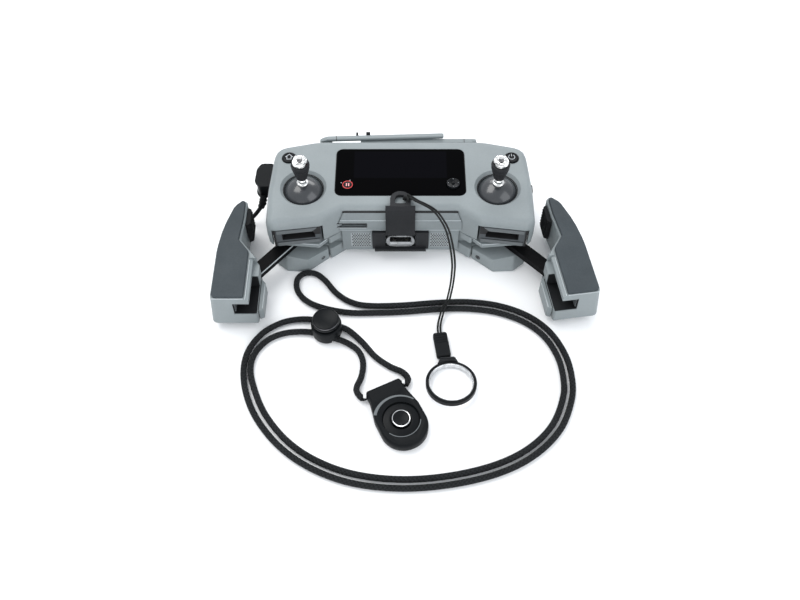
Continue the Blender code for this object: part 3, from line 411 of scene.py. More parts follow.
def upright(obj, origin=(0, 0, 0)):
    """Stands a shape drawn in XY, with its height along Z, up in XZ with its height along -Y."""
    obj.data.transform(Matrix.Translation(Vector(origin) * MM) @ Matrix.Rotation(math.pi / 2, 4, "X"))
    return obj


def slab(name, outline, origin, across, up, low, high, edge=0.0):
    """A flat piece on a slanted face: its outline is in millimetres across and up from an origin,
    and it rises from low to high off the face."""
    across, up = across.normalized(), up.normalized()
    matrix = Matrix((across, up, across.cross(up))).transposed().to_4x4()
    matrix.translation = Vector(origin) * MM
    return moved(prism(name, outline, low, high, edge), matrix)


def moved(obj, matrix):
    obj.data.transform(matrix)
    return obj


def tool_cut(obj, *tools):
    """Cuts tools out of a piece, keeps the result as its mesh, and throws the tools away."""
    for tool in tools:
        modifier = obj.modifiers.new("cut", "BOOLEAN")
        modifier.operation = "DIFFERENCE"
        modifier.object = tool
    bpy.context.view_layer.update()
    depsgraph = bpy.context.evaluated_depsgraph_get()
    mesh = bpy.data.meshes.new_from_object(obj.evaluated_get(depsgraph))
    obj.modifiers.clear()
    obj.data = mesh
    for tool in tools:
        bpy.data.objects.remove(tool)
    return obj


def soften(obj, width, segments=2, angle=32, weld=False):
    """Rounds the sharp edges of a piece and keeps its flat faces flat."""
    if weld:
        obj.modifiers.new("weld", "WELD").merge_threshold = 1e-6
    bevel = obj.modifiers.new("edges", "BEVEL")
    bevel.width = width * MM
    bevel.segments = segments
    bevel.limit_method = "ANGLE"
    bevel.angle_limit = math.radians(angle)
    bevel.harden_normals = False
    obj.modifiers.new("flat", "WEIGHTED_NORMAL").keep_sharp = False
    obj.data.shade_smooth()
    return obj


def add(obj, body, material, replaces=()):
    """Puts a finished piece on its body, with its material, and hides the CAD nodes it stands for."""
    obj.data.materials.clear()
    obj.data.materials.append(MATERIALS[material])
    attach(obj, body)
    if replaces:
        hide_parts(*replaces)
    return obj


def smooth_route(route, spacing):
    """Points at an even spacing on a Catmull-Rom curve through the route, with their lengths."""
    knots = [Vector(p) for p in route]
    knots = [2 * knots[0] - knots[1], *knots, 2 * knots[-1] - knots[-2]]
    fine = [knots[1]]
    for a, b, c, d in zip(knots, knots[1:], knots[2:], knots[3:]):
        for k in range(1, 25):
            t = k / 24
            fine.append(0.5 * (2 * b + (c - a) * t + (2 * a - 5 * b + 4 * c - d) * t * t
                               + (3 * b - a - 3 * c + d) * t ** 3))
    lengths = [0.0]
    for a, b in zip(fine, fine[1:]):
        lengths.append(lengths[-1] + (b - a).length)
    count = max(2, round(lengths[-1] / spacing))
    points, at = [], 0
    for k in range(count + 1):
        want = lengths[-1] * k / count
        while at < len(fine) - 2 and lengths[at + 1] < want:
            at += 1
        share = (want - lengths[at]) / (lengths[at + 1] - lengths[at])
        points.append(fine[at].lerp(fine[at + 1], min(1.0, share)))
    return points, lengths[-1]


def tube(name, points, radius, sides=12):
    """A round tube along points, with UVs that count diameters along it and run once round it."""
    bm = bmesh.new()
    layer = bm.loops.layers.uv.new("UVMap")
    up = Vector((0, 0, 1))
    rings, along, travelled = [], [], 0.0
    for i, point in enumerate(points):
        ahead = (points[min(i + 1, len(points) - 1)] - points[max(i - 1, 0)]).normalized()
        up = (up - ahead * up.dot(ahead)).normalized()
        side = ahead.cross(up)
        if i:
            travelled += (point - points[i - 1]).length
        along.append(travelled / (2 * radius))
        rings.append([bm.verts.new((point + (side * math.cos(a) + up * math.sin(a)) * radius) * MM)
                      for a in (2 * math.pi * k / sides for k in range(sides))])
    for i, (low, high) in enumerate(zip(rings, rings[1:])):
        for k in range(sides):
            j = (k + 1) % sides
            face = bm.faces.new((low[k], low[j], high[j], high[k]))
            for loop, uv in zip(face.loops, ((i, k), (i, k + 1), (i + 1, k + 1), (i + 1, k))):
                loop[layer].uv = (along[uv[0]], uv[1] / sides)
    bm.faces.new(rings[0])
    bm.faces.new(rings[-1])
    return mesh_object(name, bm, 60)


# ---------------------------------------------------------------- camera


def camera():
    data = bpy.data.cameras.new("camera")
    data.sensor_width = 36.0
    data.lens = 38.48
    data.clip_start = 0.01
    data.shift_x = -0.0005
    obj = bpy.data.objects.new("camera", data)
    obj.location = (0, -0.3190, 0.3959)
    obj.rotation_euler = (math.radians(34), 0, 0)
    bpy.context.collection.objects.link(obj)
    bpy.context.scene.camera = obj


# ---------------------------------------------------------------- cords


def neck_cord():
    points, length = smooth_route(NECK_ROUTE, 1.3)
    body = add(tube("neck_cord_braid", points, NECK_D / 2, 14), "root", "cord_fabric", ("neck_cord",))
    spin = Matrix.Rotation(BUCKLE_TURN, 2)
    for name, end, side in (("near", points[0], 1), ("far", points[-1], -1)):
        corner = (spin @ Vector((side * 9.4, -2.0)) + BUCKLE_TOP).to_3d() + Vector((0, 0, 3.0))
        root = end.lerp(corner, -0.15)
        sleeve = tube(f"neck_cord_ferrule_{name}", [root.lerp(corner, k / 6) for k in range(7)], 1.35, 20)
        add(sleeve, "root", "satin_black")
        lug = prism(f"neck_cord_lug_{name}", rectangle((-1.0, -0.8), (1.0, 0.8), 0.4), 3.9, 5.4, 0.25)
        spot = end.lerp(corner, 0.45)
        moved(lug, Matrix.Translation(Vector((spot.x, spot.y, 0)) * MM)
              @ Matrix.Rotation(BUCKLE_TURN + 1.1, 4, "Z"))
        add(lug, "root", "cap_white")


def tether():
    down = [Vector(p) for p in TETHER_ROUTE]
    shift = Vector((1.5, 0.3, 0))
    turn = down[-1] + Vector((0.75, -1.6, 0))
    points, length = smooth_route(down + [turn] + [p + shift for p in reversed(down)], 0.9)
    body = add(tube("tether_cord_twist", points, TETHER_D / 2, 8), "root", "tether_fabric",
               ("tether_cord",))


def phone_lead():
    points, length = smooth_route(LEAD_ROUTE, 1.0)
    body = add(tube("phone_lead_cable", points, LEAD_D / 2, 12), "root", "lead_rubber", ("phone_lead",))
    boot = add(tube("phone_lead_boot", smooth_route(LEAD_ROUTE[:5], 1.0)[0][:9], LEAD_D / 2 + 0.75, 16),
               "root", "satin_black")
    for i in range(3):
        at, after = points[1 + 2 * i], points[2 + 2 * i]
        rib = lathe(f"phone_lead_rib_{i}", [(2.0, -0.35), (2.3, -0.2), (2.3, 0.2), (2.0, 0.35)], sides=24)
        moved(rib, Matrix.Translation(at * MM)
              @ (after - at).to_track_quat("Z", "Y").to_matrix().to_4x4())
        add(rib, "root", "satin_black")


# ---------------------------------------------------------------- lanyard pieces


def lanyard_pieces():
    start, end = Vector((21.2, -75.5)), Vector((23.2, -90.0))
    heading = (end - start).normalized()
    turn = math.atan2(heading.y, heading.x)
    place = Matrix.Translation(((start + end) / 2).to_3d() * MM) @ Matrix.Rotation(turn, 4, "Z")

    body = prism("tether_boot", rectangle((-7.5, -3.8), (7.5, 3.8), 1.2), 0.3, 3.8, 0.7)
    add(moved(body, place), "root", "pad_rubber", ("tether_sleeve",))
    for i in range(4):
        rib = prism(f"tether_boot_rib_{i}", rectangle((-6.2 + 1.5 * i, -3.2), (-5.4 + 1.5 * i, 3.2), 0.3),
                    3.6, 4.0, 0.15)
        add(moved(rib, place), "root", "satin_black")

    clasp_plan = rounded([(18.9, -96.6, 0.4), (31.6, -95.7, 0.4), (28.6, -90.6, 0.8), (21.0, -91.2, 0.8)])
    clasp = prism("tether_clasp", clasp_plan, 0.4, 4.2, 0.4)
    tool_cut(clasp, lathe("clasp_tool", [(13.55, -1), (13.55, 6)], RING_CENTRE, 96))
    add(clasp, "root", "bracket_plastic", ("ring_clip",))
    for i in range(2):
        y = -91.9 - 1.2 * i
        rib = prism(f"tether_clasp_rib_{i}", rectangle((20.9 - 0.4 * i, y - 0.25),
                                                       (29.3 + 0.6 * i, y + 0.25), 0.2), 4.0, 4.6, 0.12)
        add(rib, "root", "bracket_plastic")

    # The ring: a steel band inside, with a black band over its top and outside.
    low = 0.35 + 13.3 * math.sin(RING_LIFT)
    stand = Matrix.Translation(Vector((*RING_CENTRE, low)) * MM) @ Matrix.Rotation(-RING_LIFT, 4, "X")
    steel = [(11.1, 0.4), (11.1, 2.9), (11.35, 3.2), (12.1, 3.2), (12.1, 0.1), (11.4, 0.1)]
    add(moved(lathe("tether_loop", steel, sides=96, closed=False), stand), "root", "ring_steel",
        ("tether_ring",))
    black = [(11.6, 3.15), (11.7, 3.38), (12.0, 3.45), (12.8, 3.4), (13.3, 3.0), (13.3, 0.5),
             (12.9, 0.05), (12.1, 0.0)]
    add(moved(lathe("tether_loop_band", black, sides=96, closed=False), stand), "root", "button_black")

    knot_points = []
    for k in range(61):
        a = 2 * math.pi * k / 60
        knot_points.append(Vector((4.2 + 1.6 * math.cos(a) + 0.5 * math.cos(3 * a),
                                   -13.4 + 1.3 * math.sin(a) - 0.5 * math.sin(3 * a),
                                   42.4 + 0.7 * math.sin(2 * a))))
    add(tube("tether_knot", knot_points, 0.62, 8), "root", "tether_fabric")
    loop = smooth_route([(4.6, -13.6, 42.6), (2.6, -13.4, 42.2), (1.6, -13.2, 41.0), (2.2, -13.0, 39.9),
                         (3.6, -12.7, 39.75), (6.4, -12.6, 40.0), (6.9, -12.8, 41.2),
                         (5.6, -13.3, 42.3)], 0.5)[0]
    add(tube("tether_hitch", loop, 0.5, 8), "root", "tether_fabric")


def neck_pieces():
    barrel = lathe("cord_lock_barrel", [(6.6, 0.3), (7.6, 0.7), (8.0, 1.5), (8.2, 2.4), (8.2, 8.6),
                                        (8.05, 9.2), (7.5, 9.6), (6.2, 9.6), (6.0, 9.2), (5.2, 9.0)],
                   LOCK_CENTRE)
    across = Vector((-math.sin(LOCK_TURN), math.cos(LOCK_TURN)))
    tools = []
    for offset in (3.9, -3.9):
        middle = (Vector(LOCK_CENTRE) + across * offset).to_3d() * MM
        hole = prism("hole_tool", rectangle((-2.5, -2.15), (2.5, 2.15), 1.9), -12, 12)
        place = Matrix.Translation(middle + Vector((0, 0, 2.2 * MM))) @ Matrix.Rotation(LOCK_TURN, 4, "Z")
        place = place @ Matrix.Rotation(math.pi / 2, 4, "Y") @ Matrix.Rotation(math.pi / 2, 4, "Z")
        tools.append(moved(hole, place))
    tool_cut(barrel, *tools)
    barrel.data.shade_smooth()
    barrel.data.set_sharp_from_angle(angle=math.radians(32))
    add(barrel, "root", "satin_black", ("cord_lock",))
    knob = lathe("cord_lock_knob", [(3.0, 8.3), (3.0, 10.7), (6.6, 10.8), (7.2, 11.1), (7.4, 11.7),
                                    (7.35, 12.6), (7.0, 13.2),
                                    (6.3, 13.5), (5.6, 13.35), (5.2, 13.2), (0.01, 13.15)], LOCK_CENTRE)
    add(knob, "lock_button", "button_black", ("cord_lock_button",))
    add(lathe("cord_lock_edge", [(7.12, 13.0), (7.02, 13.26), (6.85, 13.4), (6.8, 13.2)], LOCK_CENTRE, 96,
              False), "lock_button", "dark_steel")

    spin = Matrix.Rotation(BUCKLE_TURN, 2)

    def placed(points):
        return [spin @ Vector(p) + BUCKLE_TOP for p in points]
    plan = placed(rounded([(-9.8, 0, 1.6), (-9.9, -6, 4), (-12.4, -17, 8), (-12.4, -37.4, 12.0),
                           (12.4, -37.4, 12.0), (12.4, -17, 8), (9.9, -6, 4), (9.8, 0, 1.6)]))
    centre = placed([(0, -22.0)])[0]
    plate = stack("buckle_plate", [(0.35, inset(plan, 0.8)), (0.55, inset(plan, 0.3)), (1.1, plan),
                                   (4.9, plan), (5.7, inset(plan, 0.35)), (6.2, inset(plan, 1.1))])
    tool_cut(plate, lathe("disc_tool", [(9.6, 4.5), (9.6, 6.0), (10.3, 7)], centre, 96),
             lathe("well_tool", [(5.1, 2.6), (5.1, 7)], centre, 64))
    add(plate, "root", "satin_black", ("buckle_body",))
    add(lathe("buckle_disc", [(5.3, 4.4), (5.3, 5.2), (6.3, 5.4), (7.1, 5.1), (8.6, 5.3), (9.4, 5.0),
                              (9.4, 4.4)], centre, 96, False),
        "root", "button_black")

    def sweep(name, inner, outer, start, end, z, material):
        """A thin strip round part of the disc; angles are turned from the plate's long axis."""
        count = 40
        turns = [math.radians(90 + start + (end - start) * k / count) for k in range(count + 1)]
        local = [outer(k / count) * Vector((math.cos(a), math.sin(a))) for k, a in enumerate(turns)]
        local += [inner * Vector((math.cos(a), math.sin(a))) for a in reversed(turns)]
        add(prism(name, [spin @ p + centre for p in local], *z), "root", material)
    # Painted highlights: a pale arc on the plate above the disc, and a thin crescent on the lower half of
    # the disc's step.
    sweep("buckle_arc", 12.5, lambda t: 13.1 + 1.0 * t, -56, 56, (6.05, 6.32), "painted_lit_grey")
    sweep("buckle_step", 9.7, lambda t: 10.1, 118, 242, (6.0, 6.3), "painted_lit_grey")
    add(lathe("buckle_release", [(4.7, 3.9), (4.7, 6.3), (4.2, 6.6), (4.0, 6.5), (0.01, 6.4)], centre),
        "buckle_release",
        "button_black", ("buckle_button",))
    add(lathe("buckle_release_ring", [(4.72, 6.2), (4.72, 6.8), (4.55, 7.0), (4.25, 6.9), (4.15, 6.5)],
              centre, 96, False),
        "buckle_release", "ring_steel")


# ---------------------------------------------------------------- sticks


def sticks():
    for side, word in ((-1, "left"), (1, "right")):
        at = (side * STICK_X, STICK_Y)
        z = STICK_Z

        def arc(radius, start, end, count):
            turns = [math.radians(start + (end - start) * k / (count - 1)) for k in range(count)]
            return [(radius * math.sin(a), z + radius * math.cos(a)) for a in turns]
        dome = arc(12.5, 84, 9, 26) + [(1.9, 42.2), (1.9, 41.0)] + arc(11.6, 10, 84, 12)
        add(lathe(f"dome_{word}", dome, at, 96, False), f"stick_{word}", "dome_gloss",
            (f"stick_dome_{word}",))
        collar = [(1.6, 27.2), (1.6, 42.4), (2.9, 42.5), (3.15, 42.7), (3.15, 43.3), (2.9, 43.55),
                  (2.35, 43.8), (2.2, 44.2), (2.2, 45.2),
                  (1.7, 45.8), (1.6, 46.4), (1.6, 57.9), (3.7, 58.0), (4.05, 58.3), (4.05, 59.6),
                  (3.85, 60.0), (3.3, 60.1), (1.4, 59.8), (0.01, 59.8)]
        add(lathe(f"shaft_{word}", collar, at), f"stick_{word}", "bright_metal", (f"stick_shaft_{word}",))
        for i in range(4):
            turn = math.radians(45 + 90 * i)
            prong = stack(f"prong_{word}_{i}", [
                (59.6, [Vector(p) for p in ((1.3, -0.85), (3.85, -1.25), (3.85, 1.25), (1.3, 0.85))]),
                (60.6, [Vector(p) for p in ((1.5, -0.6), (3.7, -1.0), (3.7, 1.0), (1.5, 0.6))]),
                (61.4, [Vector(p) for p in ((2.2, -0.3), (3.3, -0.5), (3.3, 0.5), (2.2, 0.3))])])
            moved(prong, Matrix.Translation((at[0] * MM, at[1] * MM, 0)) @ Matrix.Rotation(turn, 4, "Z"))
            add(soften(prong, 0.15), f"stick_{word}", "bright_metal")
        add(lathe(f"crown_pit_{word}", [(1.35, 59.75), (1.35, 60.1), (0.9, 60.2), (0.5, 60.0),
                                        (0.01, 60.0)], at, 32), f"stick_{word}", "dark_steel")
        sleeve = [(1.9, 47.2), (2.7, 46.9), (2.95, 47.2)]
        for k in range(6):
            z1 = 48.2 + 1.35 * k
            wide = 3.05 + 0.34 * k
            sleeve += [(wide + 0.14, z1), (wide, z1 + 0.16)]
        sleeve += [(4.95, 56.4), (5.1, 57.1), (4.9, 57.7), (4.3, 57.9), (1.9, 57.85)]
        add(lathe(f"sleeve_{word}", sleeve, at, 64, False), f"stick_{word}", "bracket_plastic",
            (f"stick_sleeve_{word}",))
        # A dark ring in the gap round each dome: a joint, darkened further as painted shadow in the gap.
        rim = [(11.02, 36.2), (11.02, 37.3), (11.3, 37.45), (11.55, 37.3), (11.55, 36.2)]
        add(lathe(f"dish_ring_{word}", rim, at, 96, False), "root", "seam_and_shade_dark")


# ---------------------------------------------------------------- face


def face():
    # Pause button: red ring and two bars, under its clear cap.
    x, y = -29.2, -2.0
    cap = [(3.1, 33.0), (3.1, 39.4), (2.95, 39.75), (2.6, 39.9), (0.01, 39.92)]
    add(lathe("pause_cap", cap, (x, y)), "pause", "button_black", ("pause_button",))
    ring = [(2.85, 39.8), (2.85, 39.98), (2.5, 40.0), (2.45, 39.85)]
    add(lathe("pause_ring", ring, (x, y), 64, False), "pause", "icon_red_glow")
    for side in SIDES:
        bar = rectangle((x + side * 0.62 - 0.26, y - 1.05), (x + side * 0.62 + 0.26, y + 1.05), 0.12)
        add(prism(f"pause_bar_{side + 1}", bar, 39.85, 40.0), "pause", "icon_pink_glow")
    # Five-way button: a dished cap with a small nub.
    x, y = 29.2, -1.2
    cap = [(3.6, 33.0), (3.6, 40.2), (3.45, 40.6), (3.1, 40.8), (2.4, 40.7), (1.5, 40.35), (0.9, 40.3),
           (0.7, 40.75), (0.4, 40.85), (0.01, 40.87)]
    add(lathe("five_way_cap", cap, (x, y)), "five_way", "button_black", ("five_way_button",))
    add(lathe("five_way_edge", [(3.5, 40.35), (3.42, 40.66), (3.25, 40.78), (3.2, 40.6)], (x, y), 64,
              False), "five_way", "dark_steel")
    for i in range(4):
        a = math.pi / 2 * i
        dot = circle(0.16, (x + 2.7 * math.cos(a), y + 2.7 * math.sin(a)), 12)
        add(prism(f"five_way_dot_{i}", dot, 40.6, 40.82), "five_way", "icon_white")
    # Home and power buttons: slightly dished caps with line icons.
    for side, body, node in ((-1, "home", "home_button"), (1, "power", "power_button")):
        x, y = side * 63.0, 18.8
        cap = [(3.95, 33.0), (3.95, 39.3), (3.8, 39.7), (3.4, 39.9), (2.6, 39.82), (0.01, 39.75)]
        add(lathe(f"{body}_cap", cap, (x, y)), body, "button_black", (node,))
        add(lathe(f"{body}_well", [(4.3, 38.4), (4.28, 38.9), (4.0, 38.9), (4.0, 38.4)], (x, y), 64,
                  False), "root", "seam_and_shade_dark")
    x, y = -63.0, 18.8
    house = [(-1.7, 0.1), (0, 1.7), (1.7, 0.1), (1.0, 0.1), (1.0, -1.4), (-1.0, -1.4), (-1.0, 0.1),
             (-1.7, 0.1)]
    line = smooth_corners([(x + 1.2 * a, y + 1.2 * b, 39.88) for a, b in house])
    add(tube("home_icon", line, 0.21, 8), "home", "icon_white")
    x = 63.0
    arc = [Vector((x + 1.75 * math.cos(a), y + 1.75 * math.sin(a), 39.88))
           for a in (math.radians(125 + 290 * k / 30) for k in range(31))]
    add(tube("power_icon", arc, 0.2, 8), "power", "icon_white")
    add(tube("power_icon_bar", [Vector((x, y + 0.5, 39.86)), Vector((x, y + 1.3, 39.88)),
                                Vector((x, y + 2.3, 39.9))], 0.2, 8), "power", "icon_white")
    # Screen: a thin gasket line round the glass and two indicator dots.
    gasket_in = rectangle((-36.05, -9.05), (36.05, 25.45), 3.5)
    gasket_out = rectangle((-36.38, -9.38), (36.38, 25.78), 3.8)
    add(stack("screen_gasket", [(38.3, gasket_out), (38.85, gasket_out), (38.85, gasket_in),
                                (38.3, gasket_in)], False), "root", "seam_and_shade_dark")
    for i, (x, y) in enumerate(((-32.8, -0.2), (-28.0, 1.6))):
        add(prism(f"status_dot_{i}", circle(0.26, (x, y), 16), 39.35, 39.5), "root", "icon_white")


def smooth_corners(points):
    """A closed line through points with extra points, so that its corners stay crisp."""
    out = []
    for a, b in zip(points, points[1:]):
        a, b = Vector(a), Vector(b)
        out += [a.lerp(b, t) for t in (0.0, 0.06, 0.5, 0.94)]
    return out + [Vector(points[-1])]


# ---------------------------------------------------------------- front


def on_wall(name, outline, low, high, material, edge=0.0):
    """A flat piece on the front wall: its outline is in XZ, and it stands from low to high along -Y."""
    add(upright(prism(name, outline, low, high, edge)), "root", material)


def front():
    # Speaker grilles: staggered holes in a slightly lighter patch of the panel.
    hole = 0.52
    bm = bmesh.new()
    for side in SIDES:
        patch = mirrored(side, [(16.6, 7.6, 0.8), (27.9, 7.6, 0.8), (27.9, 19.8, 0.8), (16.6, 19.8, 0.8)])
        on_wall(f"grille_patch_{side + 1}", patch, 19.9, 20.03, "grille_grey")
        for row in range(9):
            for column in range(8):
                x = side * (17.4 + 1.35 * column + (0.67 if row % 2 else 0))
                z = 8.5 + 1.3 * row
                if abs(x) > 27.4:
                    continue
                turns = [math.pi / 4 * k for k in range(8)]
                ring = [(x + hole * math.cos(a), -20.05, z + hole * math.sin(a)) for a in turns]
                bm.faces.new([bm.verts.new(Vector(point) * MM) for point in ring])
    add(mesh_object("grille_holes", bm), "root", "seam_and_shade_dark")
    # Card slot: painted shade, a dark sheet inside it and a dark ring round its mouth. Panel: a dark seam
    # above it, and painted highlights, light strips on its broken edges and on the sill under the slot.
    on_wall("card_slot_shade", rectangle((-35.3, 26.1), (-18.95, 28.7), 0.3), 18.9, 19.1, "seam_and_shade_dark")
    mouth = stack("card_slot_mouth", [(z, rectangle((-34.9 - a, 26.1 - a), (-18.8 + a, 28.7 + a), 0.2))
                                      for z, a in
                                      ((20.5, 0.0), (20.5, 0.45), (20.9, 0.45), (20.9, 0.0))], False)
    add(upright(mouth), "root", "seam_and_shade_dark")
    on_wall("card_slot_sill", rectangle((-34.8, 25.1), (-18.95, 25.45), 0.1), 20.6, 20.92, "painted_edge_highlight")
    on_wall("panel_seam", rectangle((-31.6, 35.6), (31.6, 36.25)), 17.9, 18.75, "seam_and_shade_dark")
    on_wall("panel_break", rectangle((-33.2, 31.0), (33.2, 31.3), 0.1), 20.2, 20.62, "painted_edge_highlight")
    on_wall("panel_ledge", rectangle((-33.4, 23.2), (33.4, 23.5), 0.1), 20.6, 20.9, "painted_edge_highlight")
    # USB socket: rounded surround, tongue with contacts, spring tabs.
    socket = upright(prism("usb_surround", rectangle((-8.0, 11.4), (8.0, 21.1), 4.4), 11.5, 23.3, 0.35))
    mouth = upright(prism("mouth_tool", rectangle((-6.0, 15.0), (6.0, 20.3), 0.9), 14.5, 30))
    tool_cut(socket, mouth)
    add(socket, "root", "port_steel", ("usb_port",))
    on_wall("usb_back", rectangle((-5.95, 15.05), (5.95, 20.25), 0.9), 14.6, 15.0, "seam_and_shade_dark")
    lining = stack("usb_lining", [(z, rectangle((-a, 17.65 - b), (a, 17.65 + b), 0.8)) for z, a, b in
                                  ((14.7, 5.98, 2.63), (22.6, 5.98, 2.63), (22.6, 5.8, 2.45),
                                   (14.7, 5.8, 2.45))], False)
    add(upright(lining), "root", "seam_and_shade_dark")
    on_wall("usb_tongue", rectangle((-5.0, 17.9), (5.0, 19.1), 0.3), 14.8, 21.8, "satin_black", 0.2)
    for i in range(4):
        x = -3.6 + 2.4 * i
        contact = rectangle((x - 0.5, 17.72), (x + 0.5, 17.95), 0.05)
        on_wall(f"usb_contact_{i}", contact, 15.4, 21.4, "contact_gold")
        x, z = (-3.4 if i % 2 else 3.4), (15.15 if i < 2 else 19.9)
        on_wall(f"usb_tab_{i}", rectangle((x - 1.1, z), (x + 1.1, z + 0.3), 0.1), 16.0, 22.4,
                "port_steel")
    for side in SIDES:
        # Foot: a sunk screw in its diagonal face.
        normal = Vector((-side * 0.633, -0.774, 0))
        spot = Vector((side * 44.1, -25.9, 4.9))
        place = Matrix.Translation(spot * MM) @ normal.to_track_quat("Z", "Y").to_matrix().to_4x4()
        hole = lathe(f"foot_hole_{side + 1}",
                     [(0.01, 0.0), (1.5, 0.0), (1.5, 0.09), (1.35, 0.12), (0.01, 0.12)], sides=32)
        add(moved(hole, place), "root", "seam_and_shade_dark")
        head = lathe(f"foot_screw_{side + 1}", [(0.55, 0.12), (1.15, 0.12), (1.1, 0.18), (0.6, 0.18)],
                     sides=32, closed=False)
        add(moved(head, place), "root", "dark_steel")
        # Pocket: painted shade as a black outline, a dark brow and groove and the dark flared inner end of
        # the slot, and painted light as grey ledges above and below the slot.
        across = Vector((25.9, -side * 3.4, 0))
        origin = (side * 43.3, -25.0, 0)
        pieces = [
            ("top", [(0.2, 32.3, 0), (26.2, 32.3, 0), (26.2, 33.0, 0), (0.2, 33.0, 0)], (-0.4, 0.25),
             "seam_and_shade_dark"),
            ("end", [(25.2, 18.7, 0), (26.3, 18.7, 0), (26.3, 32.6, 0), (25.2, 32.6, 0)], (-0.4, 0.25),
             "seam_and_shade_dark"),
            ("ledge", [(5.2, 29.2, 0.2), (24.6, 29.2, 0.4), (24.6, 31.9, 0.4), (2.2, 31.9, 0.2)],
             (-0.2, 0.75), "painted_lit_grey"),
            ("flare", [(0.5, 25.6, 0.2), (3.6, 25.6, 0.2), (4.9, 29.0, 0.1), (1.9, 31.9, 0.1),
                       (0.5, 31.9, 0.2)], (-0.2, 0.12), "seam_and_shade_dark"),
            ("brow", [(5.0, 28.55, 0), (21.6, 28.55, 0), (21.6, 29.1, 0), (4.6, 29.1, 0)], (-0.2, 0.2),
             "seam_and_shade_dark"),
            ("shelf", [(1.2, 19.0, 0.4), (24.6, 19.0, 0.4), (24.6, 21.6, 0.4), (1.2, 21.6, 0.4)],
             (-0.2, 0.55), "painted_lit_grey"),
            ("groove", [(1.2, 21.7, 0), (24.8, 21.7, 0), (24.8, 22.05, 0), (1.2, 22.05, 0)], (-0.2, 0.12),
             "seam_and_shade_dark"),
        ]
        for name, corners, (low, high), material in pieces:
            shape = slab(f"pocket_{name}_{side + 1}", mirrored(side, corners), origin, across,
                         Vector((0, 0, 1)), low, high)
            add(soften(shape, 0.12) if material == "painted_lit_grey" else shape, "root", material)
        # Stick slot: painted shade, a dark sheet on its floor, ceiling, back and ends.
        floor = mirrored(side, [(47.2, -25.2, 0), (64.8, -27.5, 0), (64.8, -20.0, 0), (47.2, -20.0, 0)])
        back = mirrored(side, [(47.2, -20.05, 0), (64.8, -20.05, 0), (64.8, -19.85, 0),
                               (47.2, -19.85, 0)])
        near = mirrored(side, [(47.02, -25.2, 0), (47.22, -25.2, 0), (47.22, -19.9, 0),
                               (47.02, -19.9, 0)])
        far = mirrored(side, [(64.78, -27.5, 0), (64.98, -27.5, 0), (64.98, -19.9, 0), (64.78, -19.9, 0)])
        for name, outline, low, high in (("floor", floor, 23.02, 23.2), ("ceiling", floor, 28.2, 28.38),
                                         ("back", back, 23.1, 28.3), ("near", near, 23.1, 28.3),
                                         ("far", far, 23.1, 28.3)):
            add(prism(f"pocket_shade_{name}_{side + 1}", outline, low, high), "root", "seam_and_shade_dark")
        # Lip under the pocket: painted highlights, a light edge along its front and round its corner.
        lip = [Vector(p) for p in ((side * 45.6, -26.95, 17.9), (side * 52.0, -26.35, 17.9),
                                   (side * 60.0, -25.5, 17.9), (side * 67.2, -24.8, 17.9))]
        add(tube(f"lip_edge_{side + 1}", lip, 0.28, 8), "root", "painted_edge_highlight")
        lip = [Vector(p) for p in ((side * 36.2, -17.9, 17.9), (side * 40.0, -21.65, 17.9),
                                   (side * 45.0, -26.6, 17.9))]
        add(tube(f"lip_corner_{side + 1}", lip, 0.28, 8), "root", "painted_edge_highlight")


# ---------------------------------------------------------------- grips and arms


def side_frame(side, grip=False):
    """Turns a place given for the left side, mirrored if needed, to where that side's arm or grip is."""
    if side < 0:
        return Matrix.Identity(4)

    def about(x, y, turn):
        pivot = Vector((x, y, 0)) * MM
        return Matrix.Translation(pivot) @ Matrix.Rotation(turn, 4, "Z") @ Matrix.Translation(-pivot)
    arm = about(-SHOULDER.x, SHOULDER.y, RIGHT_SPLAY)
    return arm @ about(-WRIST.x, WRIST.y, RIGHT_TURN) if grip else arm


def handed(side, corners):
    """Corners given for the left side, for the asked side, anticlockwise."""
    return rounded(corners if side < 0 else [(-x, y, r) for x, y, r in reversed(corners)])


